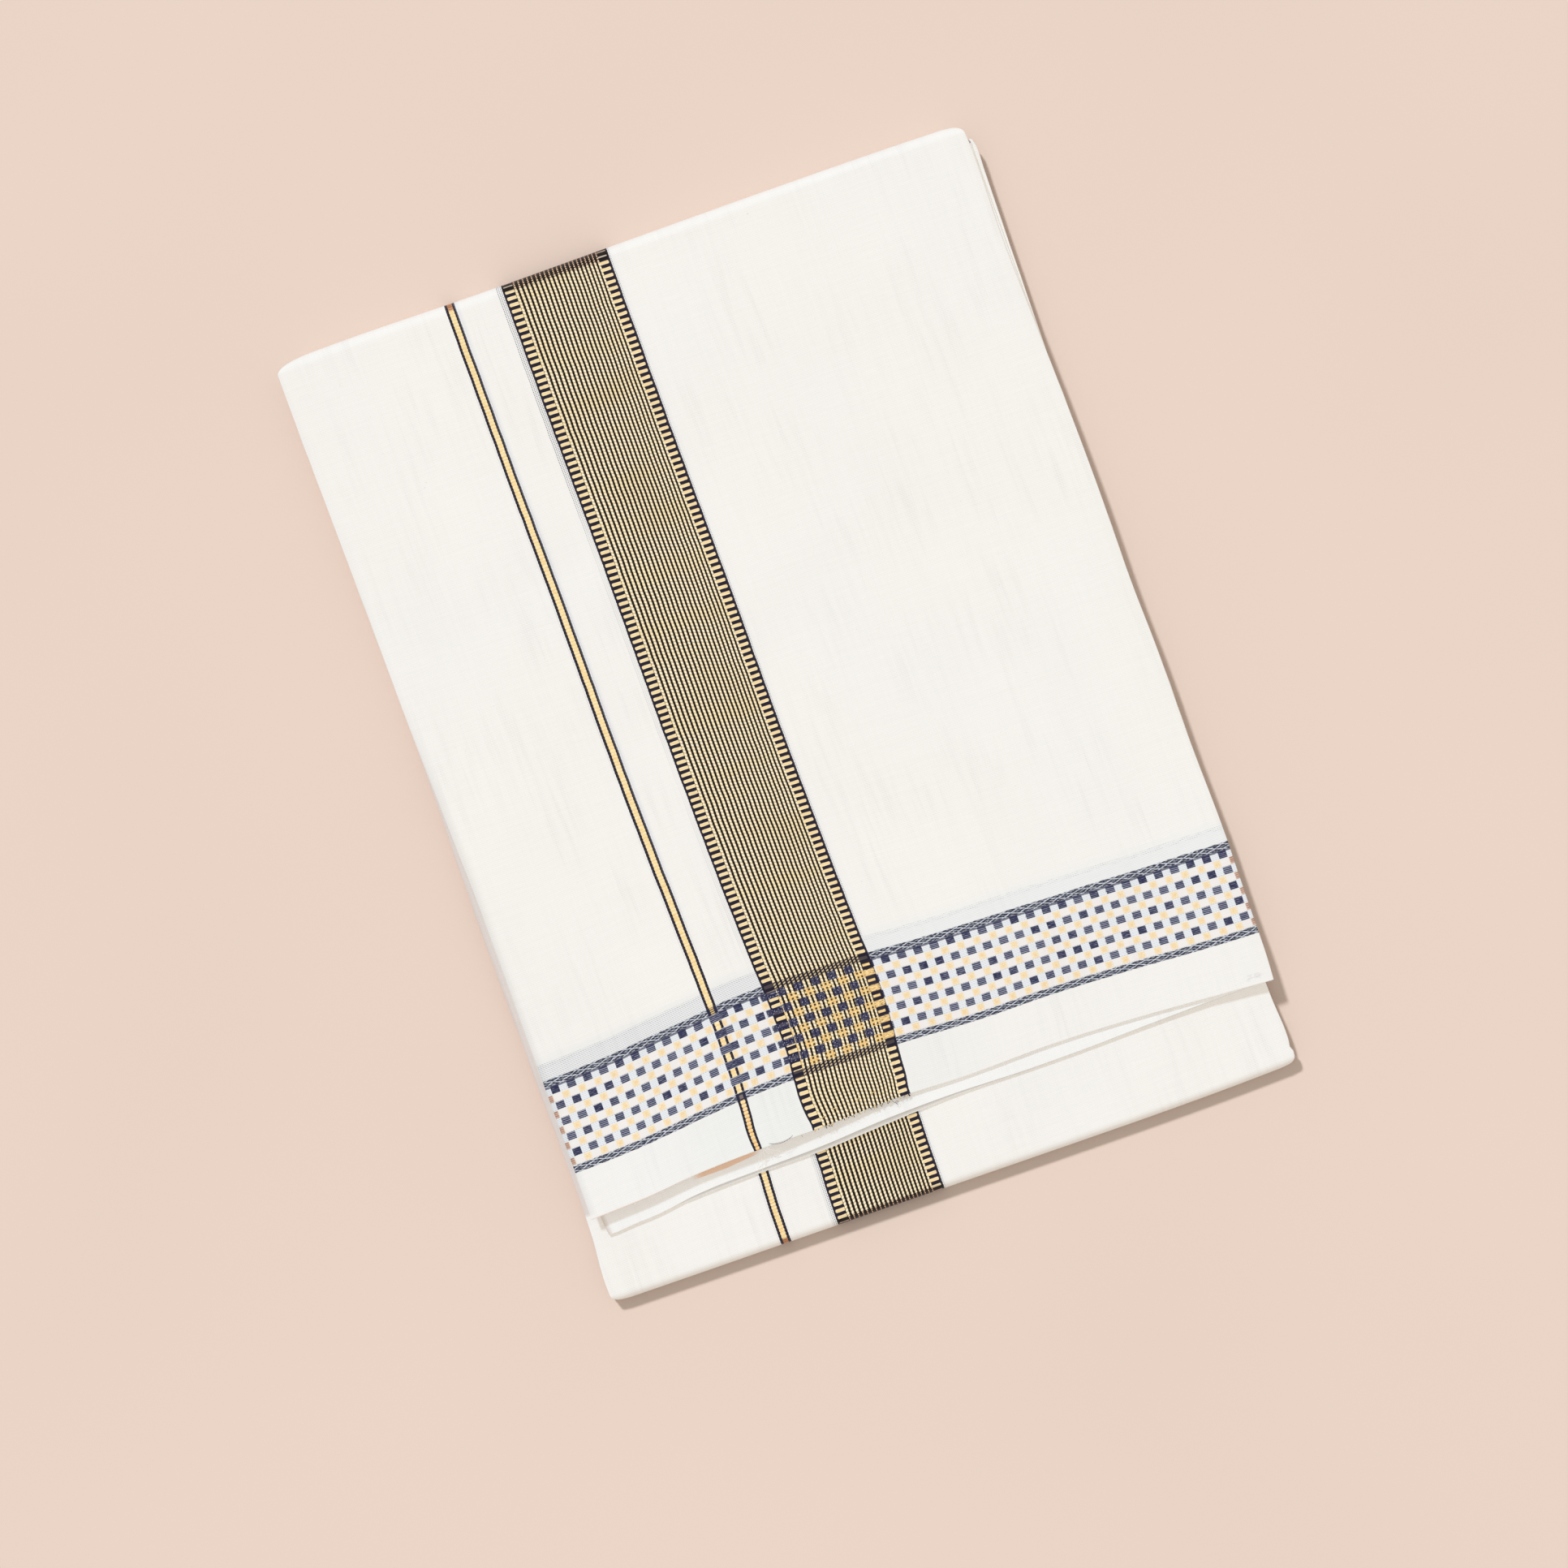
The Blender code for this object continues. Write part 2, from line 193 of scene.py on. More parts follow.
# --- The lines that the stretches follow --------------------------------------------------------
TOP_LEFT = Curve((
    (-146, -125.3), (-134, -125.3), (-112, -125.3), (-88, -125.3), (-55, -125.3), (-20, -125.7),
    (0, -126.4), (40, -127.3), (70, -127.6), (100, -128.0), (130, -128.4), (165, -128.8), (176, -128.8),
))
TOP_RIGHT = Curve((
    (-146, 127.2), (-134, 128.0), (-112, 128.4), (-88, 128.9), (-55, 128.4), (-20, 128.5),
    (0, 128.0), (40, 128.2), (70, 127.8), (100, 127.0), (130, 126.2), (165, 126.7), (176, 126.4),
))
SECOND_LEFT = Curve((
    (-151, -120.9), (-143, -121.9), (-100, -123.4), (0, -124.9), (100, -126.4), (166, -127.2),
))
SECOND_RIGHT = Curve((
    (-151, 124.4), (-143, 124.6), (-100, 125.3), (0, 126.4), (100, 127.0), (166, 127.2),
))
LOWER_LEFT = Curve((
    (-176, -128.8), (-168, -128.9), (-150, -127.7), (-140, -127.4), (-90, -127.7), (-24, -127.9),
    (20, -127.4), (75, -127.2), (130, -127.8), (158, -128.3), (163, -128.4), (167, -128.3),
    (171, -128.0), (176, -128.0),
))
LOWER_RIGHT = Curve((
    (-176, 125.8), (-173, 125.9), (-171, 125.3), (-168, 125.6), (-150, 125.0), (-140, 124.9),
    (-90, 125.4), (-24, 126.2), (20, 127.0), (75, 127.5), (130, 128.2), (158, 128.7), (165.5, 128.8),
    (167.2, 128.4), (168.2, 127.6), (169.6, 126.6), (171.5, 126.0), (176, 125.6),
))
TOP_CUT = Curve((
    (-126, -143.4), (-105, -142.7), (-84, -140.8), (-62, -140.1), (-40, -140.3), (-10, -139.6),
    (12, -140.5), (50, -140.4), (80, -141.8), (105, -143.6), (128, -145.3),
))
SECOND_CUT = Curve((
    (-122, -150.9), (-111, -150.2), (-104, -149.9), (-97, -149.2), (-89, -148.9), (-66, -148.3),
    (-44, -148.4), (-20, -147.3), (8, -146.0), (45, -146.3), (80, -145.6), (125, -144.7),
))
SECOND_UPPER_CUT = Curve((
    (-122, -150.9), (-111, -150.1), (-104, -149.8), (-97, -149.0), (-90, -148.0), (-82, -147.4),
    (-66, -147.1), (-42, -146.7), (-16, -145.3), (10, -145.0), (32, -145.7), (60, -145.8),
    (80, -145.3), (125, -144.4),
))
FAR_FOLD = Curve((
    (-129, 175.8), (-100, 176.0), (-60, 175.4), (0, 175.3), (60, 175.2), (100, 174.8), (127, 174.2),
))
NEAR_FOLD = Curve((
    (-129, -174.2), (-100, -174.6), (-50, -175.1), (0, -175.7), (50, -176.3), (74, -176.5),
    (100, -176.4), (126, -175.9),
))
TOP_LIFT = Curve((
    (-126, 2.7), (-90, 2.5), (-60, 2.9), (-40, 1.8), (-15, 0.6), (10, 0.1), (60, 0.0), (85, 0.4),
    (110, 1.2), (128, 1.6),
))
SECOND_LIFT = Curve((
    (-126, 0.0), (-90, 0.0), (-60, 0.0), (-40, 0.0), (-15, 0.0), (10, 0.0), (60, 0.0), (85, 0.35),
    (110, 1.1), (128, 1.5),
))


LIFT_START = -95.0  # where a cut end starts to rise
FADE_START = -85.0  # up to here rows follow the cut's line
FADE_RUN = 105.0  # and over this they come to lie level


def lifted(place: Array | float, x: Array | float, lift: Curve) -> Array:
    """How far a cut end stands up: its own lift at x, curling in over the last stretch before it."""
    reach = np.clip((LIFT_START - place) / (LIFT_START - CUT_PLACE), 0.0, 1.0) ** 1.6
    return np.maximum(lift(x), 0.0) * reach


def end_fade(place: Array) -> Array:
    """1 at a cut end, where rows follow its line, and 0 far up the packet."""
    return 1.0 - ease((place - FADE_START) / FADE_RUN)


# --- Where the weave lies on each stretch -------------------------------------------------------
@dataclass(frozen=True)
class ClothMap:
    """Places in the cloth, straight by the yarn, of points on a stretch that was pressed askew."""

    thin: Curve  # x of the thin stripe's middle, along the packet
    left: Curve  # x of the wide border's left edge
    right: Curve  # x of its right edge
    thin_half: Curve = level(THIN_HALF)  # half the width that the thin stripe is seen with

    def across(self, x: Array, place: Array) -> Array:
        """Place across the cloth: straight runs between the packet's sides and the stripes' edges.

        Args:
            x: places across the packet.
            place: places along it, of the same shape.

        Returns:
            Places across the cloth, in millimetres.
        """
        thin, half = self.thin(place), self.thin_half(place)
        seen = (-SELVEDGE, thin - half, thin + half, self.left(place), self.right(place), SELVEDGE)
        woven = (
            -SELVEDGE, THIN_STRIPE - THIN_HALF, THIN_STRIPE + THIN_HALF, BORDER_LEFT, BORDER_RIGHT, SELVEDGE,
        )
        out = woven[0] + np.minimum(x + SELVEDGE, 0.0) + np.maximum(x - SELVEDGE, 0.0)
        for low, high, first, last in zip(seen, seen[1:], woven, woven[1:]):
            out = out + (last - first) * np.clip((x - low) / (high - low), 0.0, 1.0)
        return out

    def along(self, x: Array, place: Array) -> Array:
        """Place along the cloth, for a stretch with no patterned end: straight on from the fold."""
        return 600.0 - place + 0.012 * x


@dataclass(frozen=True, kw_only=True)
class PatternedEndMap(ClothMap):
    """The same, for the stretch that ends in the patterned band."""

    foot: Curve  # y of the band's lower edge, across the packet
    deep: Curve  # how deep the band lies there, from its lower edge to its upper one
    skew: float = 0.027  # how far the rows drop with each millimetre to the right, far from the end

    def along(self, x: Array, place: Array) -> Array:
        """Place along the cloth from its cut end: one run below the band, one in it, one past it.

        Args:
            x: places across the packet.
            place: places along it, run on round the fold.

        Returns:
            Distances from the cut end along the yarn, in millimetres.
        """
        cut, foot, deep = TOP_CUT(x), self.foot(x), self.deep(x)
        head = foot + deep
        fade = end_fade(place)
        line = head * fade + (-89.0 - self.skew * x) * (1.0 - fade)
        below = PLAIN_END * (place - cut) / (foot - cut)
        inside = PLAIN_END + BAND_DEEP * (place - foot) / deep
        return np.where(place < foot, below, np.where(place < head, inside, BAND_HEAD + place - line))


TOP_MAP = PatternedEndMap(
    thin=Curve((
        (-141, -62.3), (-137, -62.5), (-134, -62.4), (-130, -62.0), (-125, -61.7), (-110, -61.2),
        (-100, -61.0), (-85, -61.2), (-50, -62.0), (-20, -62.7), (0, -63.0), (50, -63.2), (80, -63.4),
        (100, -63.7), (140, -63.9), (180, -64.1),
    )),
    left=Curve((
        (-140, -42.0), (-135, -42.6), (-130, -42.9), (-125, -42.5), (-120, -42.1), (-115, -41.6),
        (-105, -41.5), (-95, -41.7), (-85, -42.2), (-50, -43.4), (-20, -43.9), (0, -44.1), (50, -44.2),
        (80, -44.3), (120, -44.7), (170, -44.8),
    )),
    right=Curve((
        (-140, -5.5), (-135, -4.7), (-130, -4.3), (-125, -4.0), (-120, -3.6), (-115, -3.2),
        (-105, -2.8), (-95, -2.7), (-85, -3.1), (-50, -4.0), (-20, -4.5), (0, -4.7), (50, -4.8),
        (100, -5.3), (170, -5.5),
    )),
    foot=Curve((
        (-126, -126.5), (-112, -126.1), (-100, -125.5), (-88, -124.4), (-76, -123.3), (-56, -121.9),
        (-44, -121.7), (-20, -121.9), (2, -122.6), (16, -123.4), (30, -123.9), (51, -124.0), (65, -124.5),
        (86, -125.7), (107, -127.0), (126, -128.0),
    )),
    deep=Curve((
        (-126, 34.1), (-70, 34.1), (-55, 34.6), (-10, 34.4), (10, 34.0), (30, 33.6), (58, 32.8),
        (79, 33.0), (100, 33.5), (126, 33.9),
    )),
    thin_half=Curve(((-142, 1.3), (-136, 1.5), (-128, 1.65), (-118, 1.75), (-100, 1.8), (180, 1.8))),
)
LOWER_MAP = ClothMap(
    thin=Curve(((-178, -64.3), (-165, -64.15), (-148, -63.45), (-100, -62.6))),
    left=Curve(((-178, -45.0), (-165, -44.8), (-150, -44.2), (-100, -43.4))),
    right=Curve(((-178, -5.5), (-165, -5.4), (-150, -5.1), (-100, -4.8))),
    thin_half=Curve(((-178, 1.82), (-100, 1.82))),
)
PLAIN_MAP = ClothMap(level(THIN_STRIPE), level(BORDER_LEFT), level(BORDER_RIGHT))


# --- Walls of pressed cloth ---------------------------------------------------------------------
@dataclass(frozen=True)
class RingLayout:
    """The points round a wall: left edge, outer side, right edge and back along the inner side."""

    columns: int  # points across each side
    lobes: int  # folded plies that show along each edge
    steps: int = 6  # faces down one of them

    def points(self) -> tuple[Array, Array, Array]:
        """Lay the ring out from the middle of the left edge, over the outer side first.

        Returns:
            For each point: its share of the way across, which edge it is on (-1 left, 1 right, 0
            neither), and how far down through the wall it lies, 0 outside to 1 inside.
        """
        down = np.linspace(0.0, 1.0, self.lobes * self.steps + 1)[1:-1]
        columns, half = self.columns, len(down) // 2
        even = np.linspace(-1.0, 1.0, columns)
        flat = 0.5 + 0.5 * (0.82 * even + 0.18 * np.sin(even * math.pi / 2))  # closer near both edges
        share = np.concatenate((np.zeros(half + 1), flat, np.ones(len(down)), flat[::-1], np.zeros(half)))
        edge = np.repeat((-1.0, 0.0, 1.0, 0.0, -1.0), (half + 1, columns, len(down), columns, half))
        depth = np.concatenate((down[half::-1], np.zeros(columns), down, np.ones(columns), down[:half:-1]))
        return share, edge, depth

    def plies(self, depth: Array) -> tuple[Array, Array]:
        """Which folded ply each depth through the wall is in, and how far out on its half circle."""
        lobe = np.minimum((depth * self.lobes).astype(int), self.lobes - 1)
        return lobe, np.sqrt(np.maximum(1.0 - (2 * (depth * self.lobes - lobe) - 1) ** 2, 0.0))

    def paired(self) -> int:
        """Points on the outer half of the ring, each with its pair straight through the wall."""
        return self.columns + 2 * (self.lobes * self.steps // 2 - 1)


@dataclass(frozen=True)
class Route:
    """Stations along a stretch of cloth, with one entry in each array for each station."""

    place: Array  # flat place along the packet
    angle: Array  # how far the cloth has turned round its fold
    back: Array  # how far it has run back along the floor
    body: Array  # share of the wall's full thickness, less at a rounded end


def fold_path(flat: Array, turn: int, side: int, radius: float) -> Route:
    """Path that runs flat, turns right round a fold and runs a little way back under.

    Args:
        flat: rising distances from the start, of the stations before the fold.
        turn: number of faces round the fold.
        side: 1 for the far fold, -1 for the near one.
        radius: outside radius of the fold.

    Returns:
        The stations, the last two of them rounding the end off.
    """
    lip = np.array([1.4, 3.2, 5.4, LIP - 0.5, LIP - 0.12, LIP])
    place = np.pad(flat, (0, turn + 1 + len(lip)), constant_values=side * (PACKET_END - radius))
    angle = np.pad(np.linspace(0.0, math.pi, turn + 1), (len(flat), len(lip)), "edge")
    back = np.pad(lip, (len(flat) + turn + 1, 0))
    body = np.ones(len(place))
    body[-2:] = (0.75, 0.3)
    return Route(place, angle, back, body)


@dataclass
class Shell:
    """A closed surface through rings of points, with its place in the cloth."""

    points: Array  # (stations, ring, 3) in millimetres
    cloth: Array  # (stations, ring, 2) place across and along the cloth, in millimetres
    turn: Array  # (stations, ring) how far each point has turned down over an edge or a fold, 0 to 1
    reach_across: Array  # relative width that each ring step takes in the bake map
    reach_along: Array  # relative length that each station step takes in it


def spaced(steps: Array, low: float, high: float) -> Array:
    """Running total of the steps, with a little added to each, spread from low to high."""
    run = np.append(0.0, np.cumsum(steps + 0.02 * steps.mean()))
    return low + (high - low) * run / run[-1]


@dataclass
class MeshParts:
    """Vertices and faces gathered for one mesh, with three maps for each face corner."""

    points: list
    faces: list
    cloth: list
    bake: list
    turn: list
    count: int = 0

    @classmethod
    def empty(cls) -> "MeshParts":
        """Nothing gathered yet."""
        return cls([], [], [], [], [])

    def add_points(self, points: Array) -> int:
        """Add vertices, any shape ending in 3, and return the first one's number."""
        first = self.count
        self.points.append(points.reshape(-1, 3))
        self.count += len(self.points[-1])
        return first

    def add_faces(self, corners: Array, cloth: Array, bake: Array, turn: Array) -> None:
        """Add faces of one size.

        Args:
            corners: (faces, corners) vertex numbers.
            cloth: (faces, corners, 2) places in the cloth.
            bake: (faces, corners, 2) places in the bake map.
            turn: (faces, corners) turn over an edge.
        """
        self.faces += corners.tolist()
        self.cloth.append(cloth.reshape(-1, 2))
        self.bake.append(bake.reshape(-1, 2))
        self.turn.append(turn.ravel())

    def piece(self, name: str, finish: "Finish") -> bpy.types.Object:
        """Make the piece: mesh in metres, maps "Cloth" in metres and "OFBake" from 0 to 1.

        Args:
            name: the piece's name.
            finish: what it is dressed in.

        Returns:
            The object, at the origin, with its faces outward.
        """
        mesh = bpy.data.meshes.new(name)
        mesh.from_pydata((np.concatenate(self.points) * MM).tolist(), [], self.faces)
        for layer, values, scale in (("Cloth", self.cloth, MM), ("OFBake", self.bake, 1.0)):
            mesh.uv_layers.new(name=layer)
            mesh.uv_layers[layer].data.foreach_set("uv", (np.concatenate(values) * scale).ravel())
        mesh.uv_layers.active = mesh.uv_layers["Cloth"]
        mesh.uv_layers["Cloth"].active_render = True
        mesh.attributes.new("Turn", "FLOAT", "CORNER")
        mesh.attributes["Turn"].data.foreach_set("value", np.concatenate(self.turn))
        outward = bmesh.new()
        outward.from_mesh(mesh)
        bmesh.ops.recalc_face_normals(outward, faces=outward.faces)
        outward.to_mesh(mesh)
        outward.free()
        finish.wear(mesh)
        mesh.shade_smooth()
        log.info("%s: %d faces", name, len(mesh.polygons))
        return added(name, mesh)


def grid_corners(rows: int, columns: int, first: int, wrap: bool) -> Array:
    """Corners of the quads of a grid of vertices.

    Args:
        rows: rows of vertices.
        columns: vertices in a row.
        first: number of the first vertex.
        wrap: whether each row closes on itself.

    Returns:
        (faces, 4) vertex numbers.
    """
    i = np.arange(rows - 1)[:, None] * columns
    j = np.arange(columns if wrap else columns - 1)[None, :]
    k = (j + 1) % columns
    corners = np.stack((i + j, i + k, i + columns + k, i + columns + j), axis=-1)
    return first + corners.reshape(-1, 4)


def at_corners(values: Array) -> Array:
    """A grid's values at the four corners of each of its cells, as (cells, 4, ...)."""
    four = (values[:-1, :-1], values[:-1, 1:], values[1:, 1:], values[1:, :-1])
    stacked = np.stack(four, axis=2)
    return stacked.reshape((-1, 4) + stacked.shape[3:])


def closed(values: Array) -> Array:
    """Rings with their first point repeated at the end."""
    return np.concatenate((values, values[:, :1]), axis=1)


def ring_steps(values: Array) -> Array:
    """How far each value of a ring lies from the next one, the last one from the first."""
    return np.abs(np.diff(np.append(values, values[0])))


def add_shell(parts: MeshParts, shell: Shell) -> None:
    """Add a shell's rings; its bake map unrolls the ring across and the path upwards.

    Args:
        parts: the mesh to add to.
        shell: the shell.
    """
    rows, ring = shell.points.shape[:2]
    first = parts.add_points(shell.points)
    across = spaced(shell.reach_across, 0.002, 0.962)
    along = spaced(shell.reach_along, 0.004, 0.996)
    bake = spread(across[None, :], along[:, None])
    parts.add_faces(
        grid_corners(rows, ring, first, True),
        at_corners(closed(shell.cloth)),
        at_corners(bake),
        at_corners(closed(shell.turn)),
    )


def add_end(parts: MeshParts, shell: Shell, station: int, rows: Array, strip: tuple[float, float]) -> None:
    """Close a shell's end with rows of points strung through the wall's thickness.

    The outer half of the ring pairs up with the inner half; the rows run between each pair, and the
    ring's two side points close them with a fan.

    Args:
        parts: the mesh to add to; the shell's points are its first.
        shell: the shell.
        station: which ring to close, 0 or -1.
        rows: (rows, pairs, 3) points between the pairs, outer side first; none for a plain cap.
        strip: left and right edge of its strip of the bake map.
    """
    stations, ring = shell.points.shape[:2]
    pairs = rows.shape[1]
    start = (stations - 1) * ring if station else 0
    paired = np.arange(1, pairs + 1)
    opposite = (ring - paired) % ring
    base = parts.add_points(rows)
    middle = base + np.arange(len(rows) * pairs).reshape(len(rows), pairs)
    grid = np.concatenate(((start + paired)[None], middle, (start + opposite)[None]))
    line_y, cloth = shell.points[station][:, 1], shell.cloth[station][paired]
    end_y = np.concatenate((line_y[None, paired], rows[..., 1], line_y[None, opposite]))
    places = spread(cloth[:, 0], cloth[:, 1] + (end_y - end_y[:1]))
    bake = spread(np.linspace(*strip, len(grid))[:, None], np.linspace(0.01, 0.99, pairs))
    corners = at_corners(grid)
    parts.add_faces(corners, at_corners(places), at_corners(bake), np.zeros(corners.shape))
    for tip, column, height in ((start, 0, 0.004), (start + pairs + 1, pairs - 1, 0.996)):
        line, edge, woven = grid[:, column], bake[:, column], places[:, column]
        tips = np.broadcast_to((sum(strip) / 2, height), edge[1:].shape)
        turned = slice(None, None, -1 if column else 1)
        fan, woven, maps = (
            np.stack(three, axis=1)[:, turned]
            for three in (
                (np.full(len(line) - 1, tip), line[:-1], line[1:]),
                (woven[:-1], woven[:-1], woven[1:]),
                (tips, edge[:-1], edge[1:]),
            )
        )
        parts.add_faces(fan, woven, maps, np.zeros(fan.shape))


def closed_piece(
    name: str, finish: "Finish", shell: Shell, layout: RingLayout, rows: Array | None = None
) -> bpy.types.Object:
    """Make a piece from a shell, with both its ends closed.

    Args:
        name: the piece's name.
        finish: what it is dressed in.
        shell: the shell.
        layout: the points round it.
        rows: points down its first end, where that shows its plies.

    Returns:
        The piece.
    """
    parts = MeshParts.empty()
    add_shell(parts, shell)
    cap = np.zeros((0, layout.paired(), 3))
    split = 0.980 if rows is None else 0.982  # the ends' strips lie right of the shell in the bake map
    add_end(parts, shell, 0, cap if rows is None else rows, (0.968, split))
    add_end(parts, shell, -1, cap, (split + 0.004, 0.998))
    return parts.piece(name, finish)


@dataclass
class PressedWall:
    """One stretch of the folded cloth, pressed flat, over the form of its solid."""

    name: str  # the piece's name
    left: Curve  # x of its left edge along the packet
    right: Curve  # x of its right edge
    fold: Curve  # y of the fold that it turns round, across the packet
    side: int  # 1 where that is the far fold, -1 where it is the near one
    radius: float  # outside radius of the fold
    height: float  # height of its outer face on the flat
    corners: tuple[float, float]  # how far the fold's corners draw in, left and right
    layout: RingLayout  # points round it
    weave: ClothMap  # where its weave lies
    creases: tuple[Crease, ...]  # soft ridges and troughs in it
    phase: float  # where its uneven edges start
    bulge: float = 0.42  # how far a folded ply swells out at the side
    uneven: float = 0.16  # how far one ply's edge strays from the next one's

    def path(self) -> Route:
        """The stations along it."""
        raise NotImplementedError

    def end_rows(self, shell: Shell) -> Array | None:
        """Points down its first end; none where that is a plain cap inside the packet."""
        return None

    def build(self, finish: "Finish") -> bpy.types.Object:
        """Make the piece.

        Args:
            finish: the cotton that it is dressed in.

        Returns:
            The piece.
        """
        shell = self.shell(self.path())
        return closed_piece(self.name, finish, shell, self.layout, self.end_rows(shell))

    def flat_y(self, place: Array, x: Array) -> Array:
        """Place along the packet on the flat: level, bending to the fold's line near the fold."""
        near = ease((self.side * place - 150.0) / (PACKET_END - self.radius - 150.0))
        return place + (self.fold(x) - self.side * PACKET_END) * near

    def lift(self, place: Array, x: Array) -> Array:
        """How far it stands up from what it lies on; nothing unless it ends in a cut."""
        return np.zeros(np.broadcast_shapes(np.shape(place), np.shape(x)))

    def edge_x(self, path: Route) -> tuple[Array, Array]:
        """Left and right end of the flat of the wall, inside its folded edges, at each station."""
        run = 4.7  # over which the edge's line is read ever further on, up to the fold's tip
        late = np.clip((self.side * path.place - (PACKET_END - self.radius) + run) / run, 0.0, 1.0)
        at = path.place + self.side * self.radius * late
        inset = 1.0 - np.abs(np.cos(path.angle))
        left = self.left(at) + self.corners[0] * inset + self.bulge
        right = self.right(at) - self.corners[1] * inset - self.bulge
        return left, right

    def shell(self, path: Route) -> Shell:
        """Work the wall out: its middle surface along the path, with its thickness to both sides.

        The middle surface runs flat and turns round the fold on a circle.  A point lies off it by its
        depth through the wall.  Along each side edge it also swells out once for each folded ply.

        Args:
            path: the stations.

        Returns:
            The shell, with its place in the cloth.
        """
        share, edge, depth = (values[None, :] for values in self.layout.points())
        place, angle, back = (v[:, None] for v in (path.place, path.angle, path.back))
        left, right = (v[:, None] for v in self.edge_x(path))
        x = left + share * (right - left)
        inside = np.minimum(x - left, right - x)
        lobe, swell = self.layout.plies(depth)
        arc = self.radius * angle + back
        stray = np.zeros(np.broadcast_shapes(lobe.shape, place.shape))
        for ply in range(1, self.layout.lobes):
            sway = Sway(self.uneven, 47.0 + 13.0 * ply, self.phase + 2.1 * ply)
            stray = np.where(lobe == ply, sway(place + arc + 90.0 * edge), stray)
        x = x + edge * (self.bulge * swell + stray)
        flat = self.flat_y(place, x)
        middle = self.radius - WALL / 2
        rim = 0.2 * np.exp(-((inside / 1.5) ** 2))  # the outer plies lie a little lower at their edges
        off = (WALL / 2 - depth * (WALL + SAG)) * path.body[:, None] - rim * (1.0 - depth)
        relief = sum((crease.rise(x, flat) for crease in self.creases), np.zeros(x.shape))
        y = flat + self.side * (middle * np.sin(angle) - back + off * np.sin(angle))
        z = self.height - WALL / 2 - middle * (1.0 - np.cos(angle)) + off * np.cos(angle)
        z = z + self.lift(place, x) + relief * np.maximum(np.cos(angle), 0.0)
        over = np.where(angle < math.pi / 2, np.sin(angle), 1.0)
        bent = 1.0 - (1.0 - over) * (1.0 - np.exp(-((inside / 0.8) ** 2)))
        across = self.weave.across(x, np.broadcast_to(place, x.shape)) + edge * np.minimum(depth, 1.0 - depth)
        along = self.weave.along(x, flat + self.side * arc)
        return Shell(
            points=spread(x, y, z),
            cloth=spread(across, along),
            turn=bent,
            reach_across=self.across_reach(x, across, depth[0]),
            reach_along=self.along_reach(path),
        )

    def across_reach(self, x: Array, across: Array, depth: Array) -> Array:
        """Bake width of each ring step: more for the borders, little for what lies inside."""
        middle = len(x) // 2
        step = ring_steps(x[middle]) + 0.02
        woven, outside = across[middle], depth == 0.0
        busy = (woven > THIN_STRIPE - 4.0) & (woven < BORDER_RIGHT + 3.0) & outside
        share = np.where(outside, 1.0, np.where(depth == 1.0, 0.1, 0.5))  # inner side 0.1, edges 0.5
        return step * share * np.where(busy, 2.2, 1.0)

    def along_reach(self, path: Route) -> Array:
        """Bake length of each step along the path: more towards a cut end, little under the packet."""
        run = np.abs(np.diff(path.place)) + self.radius * np.diff(path.angle) + np.diff(path.back)
        return run * np.where(path.back[1:] > 0.0, 0.3, 1.0)


@dataclass
class CutWall(PressedWall):
    """A stretch that ends in a cut, where its plies end one over another."""

    cut: Curve = TOP_CUT  # y of the cut across the packet
    nominal: float = CUT_PLACE  # y that stands for the cut in the path's places
    rise: Curve = TOP_LIFT  # how far the cut end stands up
    ply_ends: tuple = ()  # how far each ply, from the top down, runs on past the cut's line

    def flat_y(self, place: Array, x: Array) -> Array:
        """Place along the packet on the flat, bending to the cut's line towards the cut."""
        return super().flat_y(place, x) + (self.cut(x) - self.nominal) * end_fade(place)

    def lift(self, place: Array, x: Array) -> Array:
        """The cut end's rise."""
        return lifted(place, x, self.rise)

    def end_rows(self, shell: Shell) -> Array:
        """Points down the cut face: round the tip of each ply in turn.

        Args:
            shell: the wall, whose first station is the cut.

        Returns:
            (rows, pairs, 3) points, the top ply first.
        """
        paired = np.arange(1, self.layout.paired() + 1)
        outer, inner = shell.points[0, paired], shell.points[0, shell.points.shape[1] - paired]
        thick = (outer[:, 2] - inner[:, 2]) / (WALL + SAG)
        plies = len(self.ply_ends)
        rows = []
        for ply, reach in enumerate(self.ply_ends):
            for tilt in np.radians((60.0, 20.0, -20.0, -60.0)):
                depth = (ply + 0.5 - 0.5 * math.sin(tilt)) / plies
                row = outer + depth * (inner - outer)
                tip = 0.5 * (WALL + SAG) / plies * math.cos(tilt)
                row[:, 1] -= thick * (reach(outer[:, 0]) + tip)
                rows.append(row)
        return np.array(rows)

    def along_reach(self, path: Route) -> Array:
        """Bake length of each step: twice as much over the patterned end."""
        return super().along_reach(path) * np.where(path.place[1:] < -84.0, 2.1, 1.0)


@dataclass
class TopStretch(CutWall):
    """The patterned cut end, its long run up the packet and its turn over the far fold."""

    def path(self) -> Route:
        """Close stations at the cut and over the band, wide ones up the packet, then the far fold."""
        flat = np.concatenate((
            self.nominal + 0.12 + np.array([0.0, 0.25]), np.arange(-141.0, -85.0, 0.9),
            np.arange(-84.6, 158.0, 3.0), np.linspace(159.0, PACKET_END - self.radius - 1.0, 11),
        ))
        return fold_path(flat, 24, self.side, self.radius)


